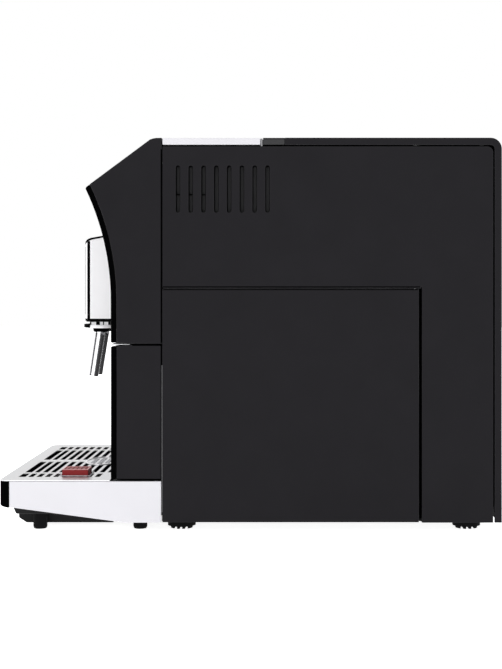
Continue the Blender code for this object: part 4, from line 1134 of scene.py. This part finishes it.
def brew_frame_details():
    """Ribs and screws of the brew frame, and the brew motor's bands."""
    spans = []
    for z in (0.08, 0.12, 0.16):
        spans.append(((0.039, -0.0034, z - 0.0009), (0.119, -0.00205, z + 0.0009)))
        spans.append(((0.039, 0.11805, z - 0.0009), (0.119, 0.1194, z + 0.0009)))
    blocks("brew_frame_ribs", "housing", BLACK, spans, 0.0002)
    heads = [(0.12305, y, z) for y in (0.006, 0.11) for z in (0.034, 0.199)]
    screws("brew_frame_screws", CHROME, heads, (1, 0, 0), 0.0026)
    heads = [(x, y, 0.02625) for x, y in ((0.059, 0.067), (0.111, 0.067), (0.059, 0.119), (0.111, 0.119))]
    screws("gearbox_screws", CHROME, heads, (0, 0, 1), 0.0022)

    motor_bands = [
        (band(0.008, 0.0085, -0.0012, 0.0012), place_at((x, 0.093, 0.0204), (1, 0, 0)))
        for x in (0.0185, 0.047)
    ]
    made_of("brew_motor_bands", "housing", DARK_STEEL, add_turned, motor_bands)


# ---------------- inside: heating, pump, grinder and wiring
THERMOSTATS = ((0.055, 0.112), (0.09, 0.07))
HOSE_CLAMPS = (
    # place, axis and the hose's radius
    ((-0.1, 0.053, 0.15), (0, 0, 1), 0.0052),
    ((-0.1, 0.093, 0.15), (0, 0, 1), 0.0052),
    ((-0.035, 0.033, 0.045), (0, 1, 0), 0.0057),
    ((-0.035, 0.1235, 0.045), (0, 1, 0), 0.0048),
)


def water_path_details():
    """Hose clamps, thermostats, heater ends and the pump's plates and winding."""

    def clamps(shape):
        for at, axis, radius in HOSE_CLAMPS:
            place = place_at(at, axis)
            add_turned(shape, band(radius, radius + 0.0007, -0.0025, 0.0025), place)
            add_block_at(shape, place, (radius, -0.0022, -0.0022), (radius + 0.0036, 0.0022, 0.0022))

    piece("hose_clamps", "housing", DARK_STEEL, clamps, 0.0002)

    def thermostats(shape):
        can = ((0.0, 0.0), (0.0085, 0.0), (0.0085, 0.0014), (0.0062, 0.0014), (0.0062, 0.0066), (0.0, 0.0066))
        for y, z in THERMOSTATS:
            add_turned(shape, can, place_at((-0.0749, y, z), (1, 0, 0)), 28)

    piece("thermostats", "housing", BLACK, thermostats, 0.0003)
    centres = [(y + step, z) for y, z in THERMOSTATS for step in (-0.0038, 0.0038)]
    spans = [((-0.0684, y - 0.0004, z - 0.0016), (-0.0625, y + 0.0004, z + 0.0016)) for y, z in centres]
    blocks("thermostat_tabs", "housing", BRASS, spans)

    def heater_ends(shape):
        for y in (0.041, 0.105):
            add_bar(shape, (-0.072, y, 0.048), 0.0036, 0.0058, lying=True, sides=20)
            add_bar(shape, (-0.066, y, 0.048), 0.0012, 0.008, lying=True, sides=12)

    piece("heater_ends", "housing", WHITE, heater_ends, 0.0003)
    spans = [((-0.06, y - 0.001, 0.0225), (-0.01, y, 0.0675)) for y in (0.065, 0.092)]
    blocks("pump_plates", "housing", DARK_STEEL, spans, 0.0003)
    blocks("pump_winding", "housing", COPPER, [((-0.0592, 0.07, 0.03), (-0.0108, 0.086, 0.06))], 0.002)


def grinder_details():
    """Rings, slots, terminals and screws of the grinder motor, and the burrs' teeth."""
    x, y = MOTOR_AT
    place = upright(x, y)

    motor_rings = [(band(0.0298, 0.0305, low, low + 0.003), place, 48) for low in (0.176, 0.25)]
    made_of("grinder_motor_rings", "housing", DARK_STEEL, add_turned, motor_rings, 0.0002)

    motor_slots = [
        (place @ turned_by(45 * i), (0.029, -0.002, 0.186), (0.0302, 0.002, 0.206))
        for i in range(8)
    ]
    made_of("grinder_motor_slots", "housing", BLACK, add_block_at, motor_slots)
    spans = [
        ((x + side - 0.0016, y - 0.0004, 0.157), (x + side + 0.0016, y + 0.0004, 0.1635))
        for side in (-0.01, 0.01)
    ]
    blocks("grinder_terminals", "housing", BRASS, spans)

    def upper_teeth(shape):
        for i in range(24):
            local = place @ turned_by(15 * i) @ turned_by(14, "X")
            add_block_at(shape, local, (0.0262, -0.0007, 0.2977), (0.0288, 0.0007, 0.2985))

    piece("upper_burr_teeth", "housing", DARK_STEEL, upper_teeth)

    def lower_teeth(shape):
        low, high = Vector((0.0232, 0.0, 0.283)), Vector((0.0126, 0.0035, 0.2972))
        for i in range(18):
            local = place @ turned_by(20 * i)
            add_tube(shape, [local @ p for p in (low, (low + high) / 2, high)], 0.0006, 6)

    piece("lower_burr_teeth", "burr", DARK_STEEL, lower_teeth)
    reach = 0.027
    heads = [(x + across, y + along, 0.26) for across in (-reach, reach) for along in (-reach, reach)]
    screws("grinder_screws", CHROME, heads, (0, 0, 1), 0.0022)


BOARD_FACE = -0.13335
CHIPS = (
    # low Y and Z, high Y and Z, and how far each chip reaches inwards
    (-0.017, 0.115, -0.005, 0.123, -0.1312),
    (-0.06, 0.24, -0.045, 0.255, -0.1315),
    (-0.033, 0.24, -0.02, 0.248, -0.132),
    (-0.03, 0.18, -0.016, 0.194, -0.1312),
)


def board_details():
    """Chips, sockets and small parts on the power board."""
    spans = [((BOARD_FACE, y0, z0), (reach, y1, z1)) for y0, z0, y1, z1, reach in CHIPS]
    blocks("board_chips", "housing", BLACK, spans, 0.0002)
    zs = (0.09, 0.105, 0.155, 0.19, 0.235)
    spans = [((BOARD_FACE, 0.01, z - 0.005), (-0.127, 0.0165, z + 0.005)) for z in zs]
    blocks("board_sockets", "housing", WHITE, spans, 0.0003)
    centres = [(-0.06 + 0.005 * i, z) for i in range(14) for z in (0.1185, 0.234)]
    spans = [((BOARD_FACE, y - 0.0008, z), (-0.1326, y + 0.0008, z + 0.0017)) for y, z in centres]
    blocks("board_parts", "housing", ALUMINIUM, spans)
    end = lambda shape: add_bar(shape, (-0.1139, -0.047, 0.18), 0.0082, 0.0004, lying=True)
    piece("capacitor_end", "housing", ALUMINIUM, end)


WIRE_RADIUS = 0.0012
WIRE_RUNS = (
    # each run leaves a socket on the board, except the mains lead
    (
        "heat",
        RED,
        (-0.129, 0.0133, 0.105), (-0.12, 0.022, 0.108), (-0.09, 0.027, 0.124),
        (-0.06, 0.042, 0.12), (-0.0622, 0.0512, 0.112), (-0.064, 0.0512, 0.112),
    ),
    (
        "heat_return",
        BLACK,
        (-0.129, 0.0133, 0.09), (-0.118, 0.023, 0.086), (-0.085, 0.026, 0.08),
        (-0.056, 0.06, 0.074), (-0.06, 0.0862, 0.07), (-0.064, 0.0862, 0.07),
    ),
    (
        "pump",
        COPPER,
        (-0.129, 0.0133, 0.155), (-0.115, 0.026, 0.15), (-0.07, 0.024, 0.135),
        (-0.05, 0.042, 0.1), (-0.04, 0.064, 0.076), (-0.038, 0.076, 0.067),
    ),
    (
        "grinder",
        HOSE,
        (-0.129, 0.0133, 0.19), (-0.115, 0.024, 0.188), (-0.08, 0.012, 0.17),
        (-0.05, -0.018, 0.15), (-0.04, -0.032, 0.151), (-0.04, -0.032, 0.1575),
    ),
    (
        "panel",
        WHITE,
        (-0.129, 0.0133, 0.235), (-0.119, 0.019, 0.245), (-0.118, 0.006, 0.27),
        (-0.124, -0.03, 0.29), (-0.121, -0.062, 0.297), (-0.112, -0.09, 0.303),
    ),
    (
        "mains",
        BLACK,
        (-0.118, -0.004, 0.069), (-0.12, 0.03, 0.029), (-0.124, 0.1, 0.021),
        (-0.118, 0.16, 0.022), (-0.095, 0.186, 0.034), (-0.082, 0.1975, 0.042),
    ),
)


def wiring():
    for name, material, *route in WIRE_RUNS:
        wire = lambda shape: add_tube(shape, smooth_route(route), WIRE_RADIUS, 8)
        piece(f"wire_{name}", "housing", material, wire)

    ties = [
        (place_at(at, axis), 0.0024, 0.0006, 20, 6)
        for at, axis in (((-0.115, 0.025, 0.123), (0.3, 1.0, 0.2)), ((-0.1235, 0.065, 0.025), (0, 1, 0)))
    ]
    made_of("wire_ties", "housing", HOSE, add_ring, ties)


# ---------------- inside: tank
VALVE_AT = (0.0, 0.185)


def tank_details():
    """Filter, valve seal, level marks and level float of the water tank."""
    place = upright(*VALVE_AT)
    basket = ((0.0, 0.1526), (0.011, 0.1526), (0.011, 0.161), (0.0085, 0.164), (0.0, 0.164))
    piece("tank_filter", "tank", WHITE, lambda shape: add_turned(shape, basket, place, 32), 0.0003)

    low, high = (0.0108, -0.0005, 0.153), (0.0116, 0.0005, 0.1606)
    ribs = [(place @ turned_by(22.5 * i), low, high) for i in range(16)]
    made_of("tank_filter_ribs", "tank", GREY, add_block_at, ribs)
    seal = lambda shape: add_ring(shape, Matrix.Translation((*VALVE_AT, 0.144)), 0.008, 0.0009, 36)
    piece("valve_seal", "tank", RUBBER, seal)
    spans = [((-0.03, 0.15885, z - 0.0004), (0.03, 0.159, z + 0.0004)) for z in (0.18, 0.315)]
    zs = [0.2025 + 0.0225 * i for i in range(5)]
    spans += [((-0.03, 0.15885, z), (-0.024, 0.159, z + 0.0005)) for z in zs]
    blocks("tank_level_marks", "tank", PRINT, spans)

    half = ((0, 0.156), (0.0065, 0.156), (0.0075, 0.158), (0.0075, 0.17), (0.006, 0.1725), (0, 0.1725))
    made_of("tank_level_float", "tank", RED, add_turned, [(half, upright(0.095, 0.17), 28)])


DETAILS = (
    vent_shade_liners,
    seam_shade_strips,
    seam_highlights_and_trims,
    edge_shade_lines,
    rear_details,
    underside,
    top_details,
    panel_signs,
    spout_details,
    tray_details,
    door_details,
    chamber_details,
    drive_details,
    piston_details,
    brew_frame_details,
    water_path_details,
    grinder_details,
    board_details,
    wiring,
    tank_details,
)


# ---------------- light, floor and camera
FLOOR_HALF = 6.0
FLOOR_GLOW = 0.92
CARD_HALF = 0.5
CARD_THICK = 0.01
CARD_HEIGHT = 1.2
CARD_AT = (0.55, -1.6, 0.02)
CARD_TURN = math.radians(21)
LIGHT_AIM = Vector((0.0, 0.0, 0.15))
LIGHTS = (
    # name, place, size and power
    ("key", (0.9, -1.0, 1.7), 1.4, 7.0),
    ("fill", (1.2, 1.1, 1.3), 1.4, 3.0),
    ("top", (0.0, 0.0, 2.2), 1.6, 8.0),
)


def stage_piece(name, mesh, material):
    """A piece of the studio, which isn't part of the machine."""
    made = bpy.data.objects.new(name, mesh)
    made.data.materials.append(material)
    bpy.context.scene.collection.objects.link(made)
    return made


def sky():
    scene = bpy.context.scene
    world = bpy.data.worlds.new("studio")
    world.use_nodes = True
    background = world.node_tree.nodes["Background"]
    background.inputs["Color"].default_value = (1.0, 1.0, 1.0, 1.0)
    background.inputs["Strength"].default_value = 1.0
    scene.world = world
    scene.view_settings.view_transform = "Standard"
    scene.view_settings.look = "None"


def floor_and_card():
    """A pale floor, and a dark card in front that only shows in reflections."""
    pale = surface("floor", (0.96, 0.96, 0.96), 0.85, specular=0.1, grain=40.0, depth=0.0, patch=0.01)
    shader = pale.node_tree.nodes["Principled BSDF"]
    shader.inputs["Emission Color"].default_value = (1.0, 1.0, 1.0, 1.0)
    shader.inputs["Emission Strength"].default_value = FLOOR_GLOW
    square = mesh_of(lambda shape: bmesh.ops.create_grid(shape, x_segments=1, y_segments=1, size=FLOOR_HALF))
    stage_piece("floor", square, pale)

    dark = surface("black_card", (0.002, 0.002, 0.002), 0.9, specular=0.0, grain=40.0, depth=0.0)
    low, high = (-CARD_HALF, -CARD_THICK / 2, 0.0), (CARD_HALF, CARD_THICK / 2, CARD_HEIGHT)
    card = stage_piece("black_card", mesh_of(lambda shape: add_block(shape, low, high)), dark)
    card.location = CARD_AT
    card.rotation_euler = (0.0, 0.0, CARD_TURN)
    card.visible_camera = False
    card.visible_diffuse = False
    card.visible_shadow = False
    card.visible_transmission = False


def lights():
    for name, at, size, power in LIGHTS:
        lamp = bpy.data.lights.new(name, "AREA")
        lamp.shape = "DISK"
        lamp.size = size
        lamp.energy = power
        holder = bpy.data.objects.new(name, lamp)
        holder.location = at
        holder.rotation_euler = (LIGHT_AIM - Vector(at)).to_track_quat("-Z", "Y").to_euler()
        bpy.context.scene.collection.objects.link(holder)


def camera():
    lens = bpy.data.cameras.new("camera")
    lens.lens = CAMERA_LENS
    lens.sensor_fit = "VERTICAL"
    lens.sensor_height = SENSOR_HEIGHT
    lens.shift_x, lens.shift_y = CAMERA_SHIFT
    holder = bpy.data.objects.new("camera", lens)
    holder.location = CAMERA_AT
    holder.rotation_euler = (math.radians(90), 0.0, math.radians(90))
    bpy.context.scene.collection.objects.link(holder)
    bpy.context.scene.camera = holder


dress_frame()
for dress in DETAILS:
    dress()
for prepare in (sky, floor_and_card, lights, camera):
    prepare()
